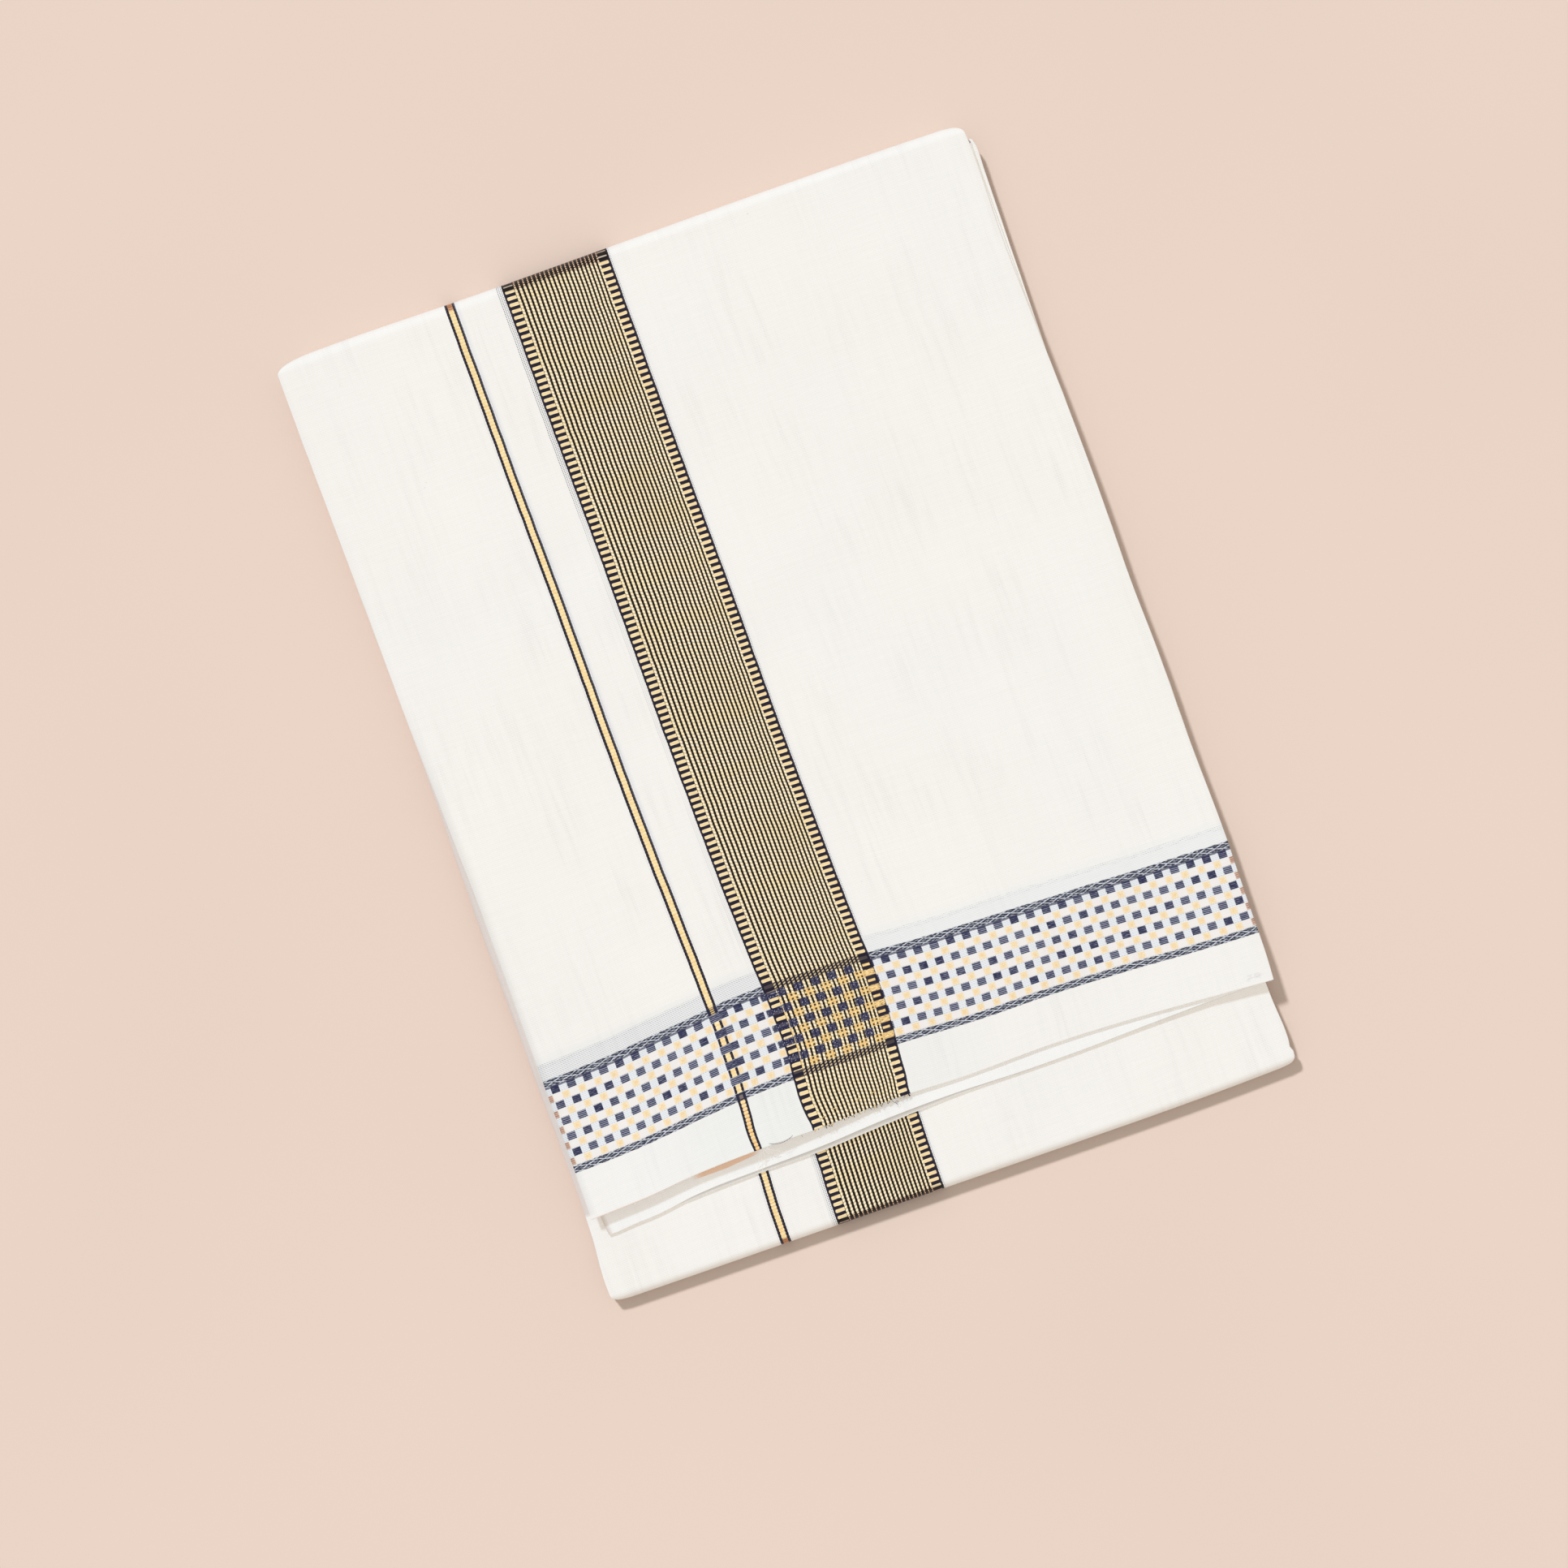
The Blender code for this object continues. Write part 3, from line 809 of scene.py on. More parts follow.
@dataclass
class SecondEnd(CutWall):
    """The cloth's other cut end, plain, whose lower plies run out past its upper ones."""

    def path(self) -> Route:
        """Close stations at the cut, then wide ones, to a rounded end inside the far fold."""
        flat = np.concatenate((
            self.nominal + np.array([0.0, 0.3]), np.arange(-144.0, -134.0, 0.6),
            np.arange(-133.5, -95.0, 2.0), np.arange(-94.0, HIDDEN_END - 2.0, 5.0),
            HIDDEN_END - np.array([0.5, 0.15, 0.0]),
        ))
        none = np.zeros(len(flat))
        return Route(flat, none, none, np.append(np.ones(len(flat) - 2), (0.8, 0.3)))


@dataclass
class LowerStretch(PressedWall):
    """The stretch under the two ends, which turns round the near fold to the floor."""

    def along_reach(self, path: Route) -> Array:
        """Bake length of each step: most where the stretch shows."""
        return super().along_reach(path) * np.where(path.place[1:] < -138.0, 4.0, 1.0)

    def path(self) -> Route:
        """Wide stations from a rounded end inside the packet, close ones where it shows, then the fold."""
        flat = np.concatenate((
            HIDDEN_END - np.array([0.0, 0.15, 0.5]), np.arange(HIDDEN_END - 3.0, -136.0, -4.0),
            np.arange(-139.0, -PACKET_END + self.radius + 0.5, -0.9),
        ))
        path = fold_path(flat, 22, self.side, self.radius)
        path.body[:2] = (0.3, 0.8)
        return path


@dataclass(frozen=True)
class EdgeLayer:
    """One pair of hidden plies: how far it stands out on each side, and how its edge strays."""

    left: float
    right: float
    stray: Sway


@dataclass
class HiddenLayers:
    """The layers between the stretches: one rounded body whose sides show the folded plies."""

    layers: tuple[EdgeLayer, ...]  # pairs of plies from the top down
    layout: RingLayout  # points round it
    bulge: float = 0.36  # how far a pair of plies swells out at the side
    near_corners: tuple[float, float] = (4.5, 4.5)  # how far the near fold's corners draw in
    far_corners: tuple[float, float] = (12.0, 6.0)  # how far the far fold's do, left and right

    def nose(self, radius: float, side: int, degrees: Array) -> list[Array]:
        """Stations round the nose inside a fold.

        Args:
            radius: the fold's outside radius.
            side: 1 far, -1 near.
            degrees: turn of each station from the nose's flat end, 90 at its tip.

        Returns:
            Arrays of place, bottom, top and corner draw-in, for each station.
        """
        angle = np.radians(degrees)
        inner = radius - LAYER_STEP
        place = side * (PACKET_END - radius + inner * np.sin(angle))
        return [place, radius - inner * np.cos(angle), radius + inner * np.cos(angle), 1.0 - np.cos(angle)]

    def stations(self) -> tuple[Array, ...]:
        """Place, bottom, top, near draw-in and far draw-in of each station, near fold first."""
        degrees = np.array([0.0, 9, 18, 28, 38, 48, 58, 68, 78, 86])
        near, far = self.nose(NEAR_RADIUS, -1, degrees[::-1]), self.nose(FAR_RADIUS, 1, degrees)
        near_lip = -PACKET_END + NEAR_RADIUS + LIP + 0.3
        far_lip = PACKET_END - FAR_RADIUS - LIP - 0.3
        low_end = HIDDEN_END + 0.3
        flat = np.concatenate((
            [-170.0, -167.0, near_lip, near_lip + 0.2], np.arange(-162.0, far_lip - 1.0, 3.0),
            [far_lip - 0.2, far_lip, low_end, low_end + 0.3, 170.0],
        ))
        bottom = np.where((flat <= near_lip) | (flat >= far_lip), LAYER_STEP, 0.0)
        top = np.where(flat > low_end, STACK_TOP + 2 * LAYER_STEP, STACK_TOP)
        none = np.zeros(len(flat))
        rows = zip((*near, 0 * near[3]), (flat, bottom, top, none, none), (*far[:3], 0 * far[3], far[3]))
        return tuple(np.concatenate(row) for row in rows)

    def build(self, finish: "Finish") -> bpy.types.Object:
        """Make the piece: rings from side to side, straight between the uneven edges of the plies.

        Args:
            finish: the cotton that it is dressed in.

        Returns:
            The piece.
        """
        share, edge, depth = (values[None, :] for values in self.layout.points())
        place, bottom, top, near, far = (values[:, None] for values in self.stations())
        lobe, swell = self.layout.plies(depth)
        left = LOWER_LEFT(place) + self.near_corners[0] * near + self.far_corners[0] * far
        right = LOWER_RIGHT(place) - self.near_corners[1] * near - self.far_corners[1] * far
        stands = np.zeros(np.broadcast_shapes(lobe.shape, place.shape))
        for ply, layer in enumerate(self.layers):
            stray = layer.stray(place + 70.0 * edge)
            stands = np.where(lobe == ply, np.where(edge < 0, layer.left, layer.right) + stray, stands)
        thin = np.clip((top - bottom) / STACK_TOP, 0.1, 1.0)
        x = left + share * (right - left) + edge * (stands + self.bulge * (swell - 1.0)) * thin
        bend = (NEAR_FOLD(x) + PACKET_END) * (1.0 - ease((place + 170.0) / 60.0))
        y = place + bend + (FAR_FOLD(x) - PACKET_END) * ease((place - 110.0) / 60.0)
        z = top + (bottom - top) * depth
        across = x + edge * 0.5 * depth * (top - bottom)
        shell = Shell(
            points=spread(x, y, z),
            cloth=spread(across, y + 2.0 * lobe),
            turn=np.broadcast_to(np.abs(edge), x.shape),
            reach_across=self.across_reach(x[len(x) // 2], edge[0]),
            reach_along=np.abs(np.diff(place[:, 0])) + np.abs(np.diff(top[:, 0])) + 0.05,
        )
        return closed_piece("folded_layers_cloth", finish, shell, self.layout)

    def across_reach(self, x: Array, edge: Array) -> Array:
        """Bake width of each ring step: most of it for the sides, which show."""
        return np.where(edge != 0.0, 1.0, 0.12 * (ring_steps(x) + 0.02))


@dataclass
class LiftedPly:
    """An inner ply that hangs between a lifted cut end and what lies under it.

    It starts inside the top stretch's thickness and parts from it towards the cut.
    """

    name: str  # the piece's name
    left: float  # x of its left edge
    right: float  # x of its right edge, where the two ends lie close again
    drop: float  # share of the gap that it hangs down at the cut
    reach: Curve  # how far it runs past the cut's line, across the packet
    thickness: float = 0.36  # two plies of cotton

    def build(self, finish: "Finish") -> bpy.types.Object:
        """Make the piece: a thin wall that follows the cut end's lift with its own share of the drop.

        Args:
            finish: the cotton that it is dressed in.

        Returns:
            The piece.
        """
        layout = RingLayout(columns=110, lobes=1, steps=4)
        share, edge, depth = (values[None, :] for values in layout.points())
        place = np.concatenate(([CUT_PLACE, -141.85], np.arange(-141.2, -96.0, 1.5)))[:, None]
        body = np.ones(place.shape)
        body[0], body[-1] = 0.5, 0.4
        start = LIFT_START - 2.0  # from here to the cut it parts from the top stretch
        end = np.clip((start - place) / (start - CUT_PLACE), 0.0, 1.0)
        x = self.left + 2.0 * (1.0 - end) + share * (self.right - self.left) + 0.1 * edge
        y = place + (TOP_CUT(x) - self.reach(x) - CUT_PLACE) * end_fade(place)
        lift = lifted(place, x, TOP_LIFT)
        gap = lift - lifted(place, x, SECOND_LIFT)
        wave = 0.12 * end * np.sin(x / 9.0 + 2.0 * self.drop) + 0.08 * end * np.sin(x / 3.7 + self.drop)
        top = FAR_RADIUS * 2 - 0.3 - 0.3 * end + lift - self.drop * gap + wave * np.minimum(gap, 1.0)
        z = top - depth * self.thickness * body
        shell = Shell(
            points=spread(x, y, z),
            cloth=spread(x, TOP_MAP.along(x, y)),
            turn=np.zeros(x.shape),
            reach_across=ring_steps(x[0]) + 0.05,
            reach_along=np.abs(np.diff(place[:, 0])),
        )
        return closed_piece(self.name, finish, shell, layout)


# --- Shader graphs --------------------------------------------------------------------------------
WHITE_LEVEL = 0.92  # what the palest yarn gives back of the light it gets


@dataclass(frozen=True)
class Dye:
    """A yarn colour, given in display values from 0 to 255."""

    red: float
    green: float
    blue: float

    def linear(self) -> tuple[float, float, float, float]:
        """The colour as light, scaled to what cloth gives back."""
        shown = np.array([self.red, self.green, self.blue]) / 255.0
        light = np.where(shown <= 0.04045, shown / 12.92, ((shown + 0.055) / 1.055) ** 2.4)
        return (*(light * WHITE_LEVEL).tolist(), 1.0)


class Tint:
    """A colour that changes over the surface: a node's colour output."""

    def __init__(self, socket: bpy.types.NodeSocket) -> None:
        """Hold the socket."""
        self.socket = socket


def operation(name: str) -> Callable[..., "Field"]:
    """A method of Field that adds a Math node over the field and what it is given.

    Args:
        name: the node's operation.

    Returns:
        The method.
    """
    return lambda field, *others: field.graph.math(name, field, *others)


class Field:
    """A number that changes over the surface: a node's output, with arithmetic that adds nodes."""

    def __init__(self, graph: "Graph", socket: bpy.types.NodeSocket) -> None:
        """Hold the socket and the graph it is in."""
        self.graph = graph
        self.socket = socket

    __add__ = __radd__ = operation("ADD")
    __sub__ = operation("SUBTRACT")
    __mul__ = __rmul__ = operation("MULTIPLY")
    __truediv__ = operation("DIVIDE")
    __abs__ = operation("ABSOLUTE")
    larger = operation("MAXIMUM")
    fraction = operation("FRACT")  # what is left above the next whole number down
    whole = operation("FLOOR")  # that whole number
    above = operation("GREATER_THAN")  # 1 above a level, 0 below it

    def __rsub__(self, other: float) -> "Field":
        """Difference from a number."""
        return self.graph.math("SUBTRACT", other, self)

    def wave(self, period: float) -> "Field":
        """Cosine wave from 0 to 1, 1 at each whole period."""
        return self.graph.math("COSINE", self * (math.tau / period)) * 0.5 + 0.5

    def rise(self, low: "Field | float", high: "Field | float") -> "Field":
        """Soft step from 0 at low to 1 at high."""
        step = self.graph.node("ShaderNodeMapRange", interpolation_type="SMOOTHSTEP")
        for value, name in ((self, "Value"), (low, "From Min"), (high, "From Max")):
            self.graph.join(value, step.inputs[name])
        return Field(self.graph, step.outputs["Result"])

    def fall(self, low: "Field | float", high: "Field | float") -> "Field":
        """Soft step from 1 at low to 0 at high."""
        return 1.0 - self.rise(low, high)

    def within(self, low: float, high: float, soft: float = 0.05) -> "Field":
        """1 between low and high, with soft sides."""
        return self.rise(low - soft, low + soft) * self.fall(high - soft, high + soft)


class Graph:
    """Adds nodes to one tree and joins them."""

    def __init__(self, tree: bpy.types.NodeTree) -> None:
        """Work in a tree."""
        self.tree = tree

    def node(self, kind: str, **settings: object) -> bpy.types.Node:
        """Add a node, set its properties and put it in the next free place."""
        made = self.tree.nodes.new(kind)
        for name, value in settings.items():
            setattr(made, name, value)
        count = len(self.tree.nodes)
        made.location = (190.0 * (count // 12), -170.0 * (count % 12))
        return made

    def join(self, value: "Field | Tint | Dye | float", socket: bpy.types.NodeSocket) -> None:
        """Link a node's value to a socket, or set a fixed one on it."""
        if isinstance(value, (Field, Tint)):
            self.tree.links.new(value.socket, socket)
        else:
            socket.default_value = value.linear() if isinstance(value, Dye) else value

    def read(self, sockets: list[bpy.types.NodeSocket]) -> "list[Field | Tint]":
        """Sockets as fields and tints."""
        return [Tint(socket) if socket.type == "RGBA" else Field(self, socket) for socket in sockets]

    def math(self, kind: str, *values: "Field | float") -> Field:
        """Add a Math node over one or two values."""
        made = self.node("ShaderNodeMath", operation=kind)
        for value, socket in zip(values, made.inputs):
            self.join(value, socket)
        return Field(self, made.outputs[0])

    def noise(self, across: Field, along: Field, wide: float, long: float, seed: float = 0.0) -> Field:
        """Soft random value from 0 to 1.

        Args:
            across: place across the cloth.
            along: place along it.
            wide: size of a spot across.
            long: size of a spot along.
            seed: shifts the pattern, so that two of one size differ.

        Returns:
            The value.
        """
        spot = self.node("ShaderNodeCombineXYZ")
        self.join(across / wide, spot.inputs[0])
        self.join(along / long, spot.inputs[1])
        spot.inputs[2].default_value = seed
        made = self.node("ShaderNodeTexNoise", noise_dimensions="3D")
        self.tree.links.new(spot.outputs[0], made.inputs["Vector"])
        made.inputs["Scale"].default_value = 1.0
        made.inputs["Detail"].default_value = 1.0
        return Field(self, made.outputs[0])

    def chance(self, number: Field) -> Field:
        """A random value from 0 to 1 for each whole number."""
        made = self.node("ShaderNodeTexWhiteNoise", noise_dimensions="1D")
        self.join(number, made.inputs["W"])
        return Field(self, made.outputs["Value"])

    def mix(self, share: "Field | float", under: "Tint | Dye", over: "Tint | Dye") -> Tint:
        """Lay one colour over another by its share."""
        made = self.node("ShaderNodeMix", data_type="RGBA", clamp_factor=True)
        self.join(share, made.inputs[0])
        self.join(under, made.inputs[6])
        self.join(over, made.inputs[7])
        return Tint(made.outputs[2])

    def coats(self, under: "Tint | Dye", *coats: tuple["Field | float", "Tint | Dye"]) -> Tint:
        """Lay colours on one after another, each by its share."""
        for share, over in coats:
            under = self.mix(share, under, over)
        return under

    def scaled(self, colour: Tint, factor: Field) -> Tint:
        """Multiply a colour by a value."""
        made = self.node("ShaderNodeVectorMath", operation="SCALE")
        self.tree.links.new(colour.socket, made.inputs[0])
        self.join(factor, made.inputs["Scale"])
        return Tint(made.outputs[0])

    def millimetres(self, place: bpy.types.NodeSocket) -> tuple[Field, Field]:
        """The first two parts of a place given in metres, in millimetres."""
        apart = self.node("ShaderNodeSeparateXYZ")
        self.tree.links.new(place, apart.inputs[0])
        return Field(self, apart.outputs[0]) * 1000.0, Field(self, apart.outputs[1]) * 1000.0

    def object_place(self) -> bpy.types.NodeSocket:
        """Place on the object."""
        return self.node("ShaderNodeTexCoord").outputs["Object"]

    def cloth_place(self) -> list[Field]:
        """Places across and along the cloth, with the wander of its yarns."""
        return self.use(ClothPlace(), Tint(self.node("ShaderNodeUVMap", uv_map="Cloth").outputs[0]))

    def feed(self, shader: bpy.types.Node, strength: float, height: Field, **values: object) -> None:
        """Feed a shader, its normal from a Bump node.

        Args:
            shader: the shader.
            strength: how strongly the relief shows.
            height: the relief, in millimetres.
            values: what its other inputs get, under their names with low lines for spaces.
        """
        for name, value in values.items():
            self.join(value, shader.inputs[name.replace("_", " ")])
        bump = self.node("ShaderNodeBump")
        bump.inputs["Strength"].default_value = strength
        bump.inputs["Distance"].default_value = MM
        self.join(height, bump.inputs["Height"])
        self.tree.links.new(bump.outputs["Normal"], shader.inputs["Normal"])

    def use(self, effect: "Effect", *values: "Field | Tint | float") -> list:
        """Place an effect's node group.

        Args:
            effect: the effect.
            values: its inputs in order.

        Returns:
            Its outputs in order, as fields and tints.
        """
        made = self.node("ShaderNodeGroup")
        made.node_tree = effect.tree()
        for value, socket in zip(values, made.inputs):
            self.join(value, socket)
        return self.read(made.outputs)


class Kind(Enum):
    """Kinds of socket on a node group."""

    NUMBER = "NodeSocketFloat"
    COLOUR = "NodeSocketColor"
    PLACE = "NodeSocketVector"


def numbers(*names: str) -> tuple[tuple[str, Kind], ...]:
    """Number sockets of these names."""
    return tuple((name, Kind.NUMBER) for name in names)


class Effect:
    """A shader node group with named inputs and outputs, built once for all materials."""

    name: str
    inputs: tuple[tuple[str, Kind], ...]
    outputs: tuple[tuple[str, Kind], ...]

    def draw(self, graph: Graph, given: list) -> list:
        """Add the nodes that turn the inputs into the outputs."""
        raise NotImplementedError

    def tree(self) -> bpy.types.NodeTree:
        """The node group, made the first time it is asked for."""
        found = bpy.data.node_groups.get(self.name)
        if found:
            return found
        tree = bpy.data.node_groups.new(self.name, "ShaderNodeTree")
        for sockets, way in ((self.inputs, "INPUT"), (self.outputs, "OUTPUT")):
            for name, kind in sockets:
                tree.interface.new_socket(name=name, in_out=way, socket_type=kind.value)
        graph = Graph(tree)
        start = graph.node("NodeGroupInput")
        results = self.draw(graph, graph.read(start.outputs[: len(self.inputs)]))
        end = graph.node("NodeGroupOutput")
        for value, socket in zip(results, end.inputs):
            graph.join(value, socket)
        return tree


ACROSS_ALONG = numbers("Across", "Along")
COLOUR = ("Colour", Kind.COLOUR)
GROUND = ("Ground", Kind.COLOUR)


class ClothPlace(Effect):
    """Place in the cloth in millimetres, with the slow wander of its yarns."""

    name, inputs, outputs = "Cloth place", (("Cloth", Kind.PLACE),), ACROSS_ALONG

    def draw(self, graph: Graph, given: list) -> list:
        """Split the map into its two directions and shift each a little by soft noise."""
        across, along = graph.millimetres(given[0].socket)
        wander = graph.noise(across, along, 26.0, 7.0, 1.0) - 0.5
        drift = graph.noise(across, along, 30.0, 40.0, 5.0) - 0.5
        return [across + wander * 0.34, along + drift * 0.8]


class SideShade(Effect):
    """Shade between the plies down the packet's left side, and the soft roll-off next to it."""

    name, inputs, outputs = "Side shade", (("Object", Kind.PLACE), COLOUR), (COLOUR,)

    def draw(self, graph: Graph, given: list) -> list:
        """Darken left of a line that leans out up the packet; less from the middle on, none by the end."""
        x, y = graph.millimetres(given[0].socket)
        inside = x + (y + 20.0).larger(0.0) * 0.02 + 125.7  # how far right of that line
        strip = inside.fall(-0.5, 0.4) * (graph.noise(x, y, 0.5, 60.0, 61.0) * 0.5 + 0.7)
        here = (1.0 - y.rise(5.0, 55.0) * 0.75) * y.rise(-143.0, -141.0)
        rolled = graph.scaled(given[1], 1.0 - inside.fall(0.0, 3.4) * here * 0.12)
        tone = graph.mix(inside.rise(-2.4, -0.8), Dye(218, 206, 200), Dye(227, 216, 210))
        return [graph.mix(strip * here, rolled, tone)]


class PlainWeave(Effect):
    """Fine plain weave: yarns over and under, small gaps between them, slubs and streaks."""

    name, inputs = "Plain weave", numbers("Across", "Along", "Open")
    outputs = numbers("Shade", "Height")

    def draw(self, graph: Graph, given: list) -> list:
        """Product of two waves for the yarns, another for the gaps, noise drawn out along the yarns."""
        across, along, open_weave = given
        noise = partial(graph.noise, across, along)
        over = (across.wave(4 * END_SPACING) - 0.5) * (along.wave(2 * PICK) - 0.5) * 4.0
        gaps = (1.0 - across.wave(2 * END_SPACING) * (open_weave * 0.5 + 0.25)) * (1.0 - along.wave(PICK))
        gaps = gaps * gaps
        warp = noise(1.3, 60.0, 2.0) - 0.5
        weft = noise(50.0, 0.9, 3.0) - 0.5
        cloud = noise(34.0, 46.0, 4.0) - 0.5
        slub = noise(14.0, 0.5, 6.0).rise(0.66, 0.82)
        thread = noise(7.0, 0.45, 7.0) - 0.5
        shade = 1.0 + warp * 0.03 + weft * 0.035 + cloud * 0.034 + thread * 0.045
        loosened = noise(2.4, 30.0, 5.0).rise(0.42, 0.78) * noise(20.0, 44.0, 9.0).rise(0.36, 0.66)
        speck = noise(1.6, 0.9, 8.0).rise(0.79, 0.84)
        shade = shade + 0.022 - gaps * (open_weave * 0.1 + loosened * 0.14 + 0.06) - speck * 0.16
        height = over * 0.004 + slub * 0.02 + thread * 0.02 - gaps * (open_weave * 0.03 + 0.012)
        return [shade, height]


class TwistedYarn(Effect):
    """Metal-wrapped yarn, twisted, so it shows as a row of slanted beads."""

    name, inputs = "Twisted yarn", numbers("Aside", "Along", "Turned")
    outputs = (COLOUR, *numbers("Height"))

    def draw(self, graph: Graph, given: list) -> list:
        """Wave along the yarn whose phase slants with the place aside: a painted highlight on each bead,
        dimmed towards its sides by painted shade.

        Aside runs from -1 to 1 across the yarn.
        """
        aside, along, turned = given
        bead = (along + aside * 0.3).wave(2 * PICK)
        crown = 1.0 - aside * aside
        # painted highlight on each bead, dimmed towards the yarn's sides as painted shade
        light = bead.rise(0.0, 0.5) * (crown * 0.4 + 0.6)
        worn = graph.noise(aside, along, 9.0, 9.0, 8.0).rise(0.42, 0.72)
        colour = graph.coats(
            Dye(212, 176, 120), (light, Dye(255, 249, 222)), (worn * 0.45, Dye(248, 225, 168)),
            # painted shade with a warm painted reflection where the yarn turns over a fold
            (turned, Dye(238, 198, 164)),
        )
        return [colour, crown * (bead * 0.4 + 0.6) * 0.06]


NAVY = Dye(36, 31, 47)
BLACK = Dye(22, 12, 5)
INK = Dye(45, 46, 80)
SLATE = Dye(120, 116, 120)
# painted shade with a warm painted reflection: the gold's colour where it turns over a fold
FOLD_SHADED_GOLD = Dye(176, 112, 70)
COTTON = Dye(249, 245, 239)
DENSE_COTTON = Dye(247, 244, 240)
GHOST = Dye(66, 72, 90)


class WovenBorder(Effect):
    """The lengthwise stripes: the thin one, and the wide one with its two combs and its dark lines."""

    name, inputs = "Woven border", (*ACROSS_ALONG, GROUND, *numbers("Turned"))
    outputs = (COLOUR, *numbers("Zari", "Height", "Pale yarn"))

    def draw(self, graph: Graph, given: list) -> list:
        """Bands set by the place across; in them, teeth and beads set by the place along.

        The dark lines of the wide stripe crowd a little to the right, so their count is a quadratic
        of the distance from the first one.
        """
        across, along, ground, turned = given
        noise, coats = partial(graph.noise, across, along), graph.coats
        ticks = along.wave(2 * PICK)
        ragged = ticks * 0.08
        fibre, tone = noise(2.4, 0.22, 11.0), noise(30.0, 16.0, 12.0)
        far_fold = along.rise(*OVER_FAR_FOLD) * (1.0 - along.above(FOLDED_BACK))
        # where the cloth bends over a fold: the darker, warmer colours it mixes in below are painted shade
        # with a warm painted reflection
        bent = turned.rise(0.2, 0.46).larger(far_fold)
        lower = along.rise(*LOWER_SHOWS)

        # thin stripe: short floats, nipped in where each meets the next
        right_of_thin = across - THIN_STRIPE
        off = abs(right_of_thin)
        thin = (off - ragged).fall(1.86, 2.0)
        nip = ticks.rise(0.62, 0.98) * noise(4.0, 1.6, 15.0).rise(0.2, 0.6)
        worn = 1.0 - along.rise(14.0, 22.0) * (1.0 - lower * 0.3)
        thin_gold = (off + ragged + nip * (worn * 0.16 + 0.04)).fall(0.94, 1.1)
        # fleck: painted highlight, a pale glint on each bead of the gold floats
        fleck = (along + 0.3).wave(2 * PICK).rise(0.7, 1.0) * noise(0.9, 0.6, 14.0).rise(0.4, 0.6)
        gold = coats(
            Dye(249, 228, 172), (fibre.rise(0.4, 0.7) * 0.8, Dye(241, 198, 124)),
            (along.fall(8.0, 16.0) * 0.5, Dye(238, 186, 104)), (fleck * 0.8, Dye(255, 248, 226)),
            (nip * (worn * 0.6 + 0.2) * (0.5 + fibre), Dye(216, 144, 86)),
            # over a fold the gold takes painted shade with a warm painted reflection
            (bent, coats(FOLD_SHADED_GOLD, (nip * 0.6, Dye(240, 214, 180)))),
        )
        nib = (along + 0.25).wave(2 * PICK).rise(0.8, 1.0) * (off - 1.45).within(-0.2, 0.25, 0.1)
        thin_line = coats(NAVY, (nib * 0.35, SLATE))

        # wide stripe: dark ground, then the two combs with their round-ended teeth
        wide = (across + ragged).rise(BORDER_LEFT - 0.05, BORDER_LEFT + 0.05)
        wide = wide * (across - ragged).fall(BORDER_RIGHT - 0.1, BORDER_RIGHT)
        stray = fibre * 0.3 - 0.15
        phase, other = (along + stray).wave(4 * PICK), (along + stray + 0.7).wave(4 * PICK)
        left_comb = (across + stray - (1.0 - phase) * 0.5).within(BORDER_LEFT + 0.62, BORDER_LEFT + 4.1, 0.1)
        left_comb = left_comb * (phase - bent * 0.35).rise(0.45, 0.6)
        right_end = across + stray + (1.0 - other) * 0.5
        right_comb = right_end.within(BORDER_RIGHT - 4.0, BORDER_RIGHT - 0.75, 0.1)
        comb = left_comb.larger(right_comb * (other - bent * 0.35).rise(0.45, 0.6))
        core = phase.larger(other * across.above(-24.0)).rise(0.72, 0.95)
        deep = (core * 0.6).larger(fibre.rise(0.45, 0.7) * 0.9)
        # painted shade with a warm painted reflection: the teeth where they turn over a fold
        fold_shaded_tooth = coats(Dye(196, 182, 160), (turned.rise(0.6, 0.95), Dye(196, 150, 132)))
        tooth = coats(Dye(255, 240, 196), (deep, Dye(236, 196, 130)), (bent, fold_shaded_tooth))

        # the dark lines and the twisted yarn between them, which breaks into dots over a fold
        start = across + 38.69
        count = start * 0.5965 + start * start * 0.00217
        aside = count.fraction() - 0.5
        shift = graph.chance(count.whole()) * 2.4
        twist = along + shift
        slim = bent * 0.1 + along.above(LOWER_SHOWS[0]) * 0.022
        pale = (abs(aside) - twist.wave(2 * PICK) * 0.04 + slim).fall(0.205, 0.275)
        pale = pale * (1.0 - bent * (along + shift * 0.2).wave(0.83).fall(0.3, 0.5))
        yarn_colour, yarn_height = graph.use(TwistedYarn(), aside * 3.6, twist, bent)
        nib = twist.wave(4 * PICK).rise(0.8, 1.0) * abs(aside).rise(0.36, 0.47)
        twisted = coats(
            yarn_colour, (tone.rise(0.45, 0.75) * 0.3, Dye(238, 209, 148)),
            # painted shade with a warm painted reflection where the yarn turns over a side fold
            (turned.rise(0.6, 0.9), Dye(214, 164, 136)),
        )
        lines = across.within(BORDER_LEFT + 4.0, BORDER_RIGHT - 3.9, 0.04)

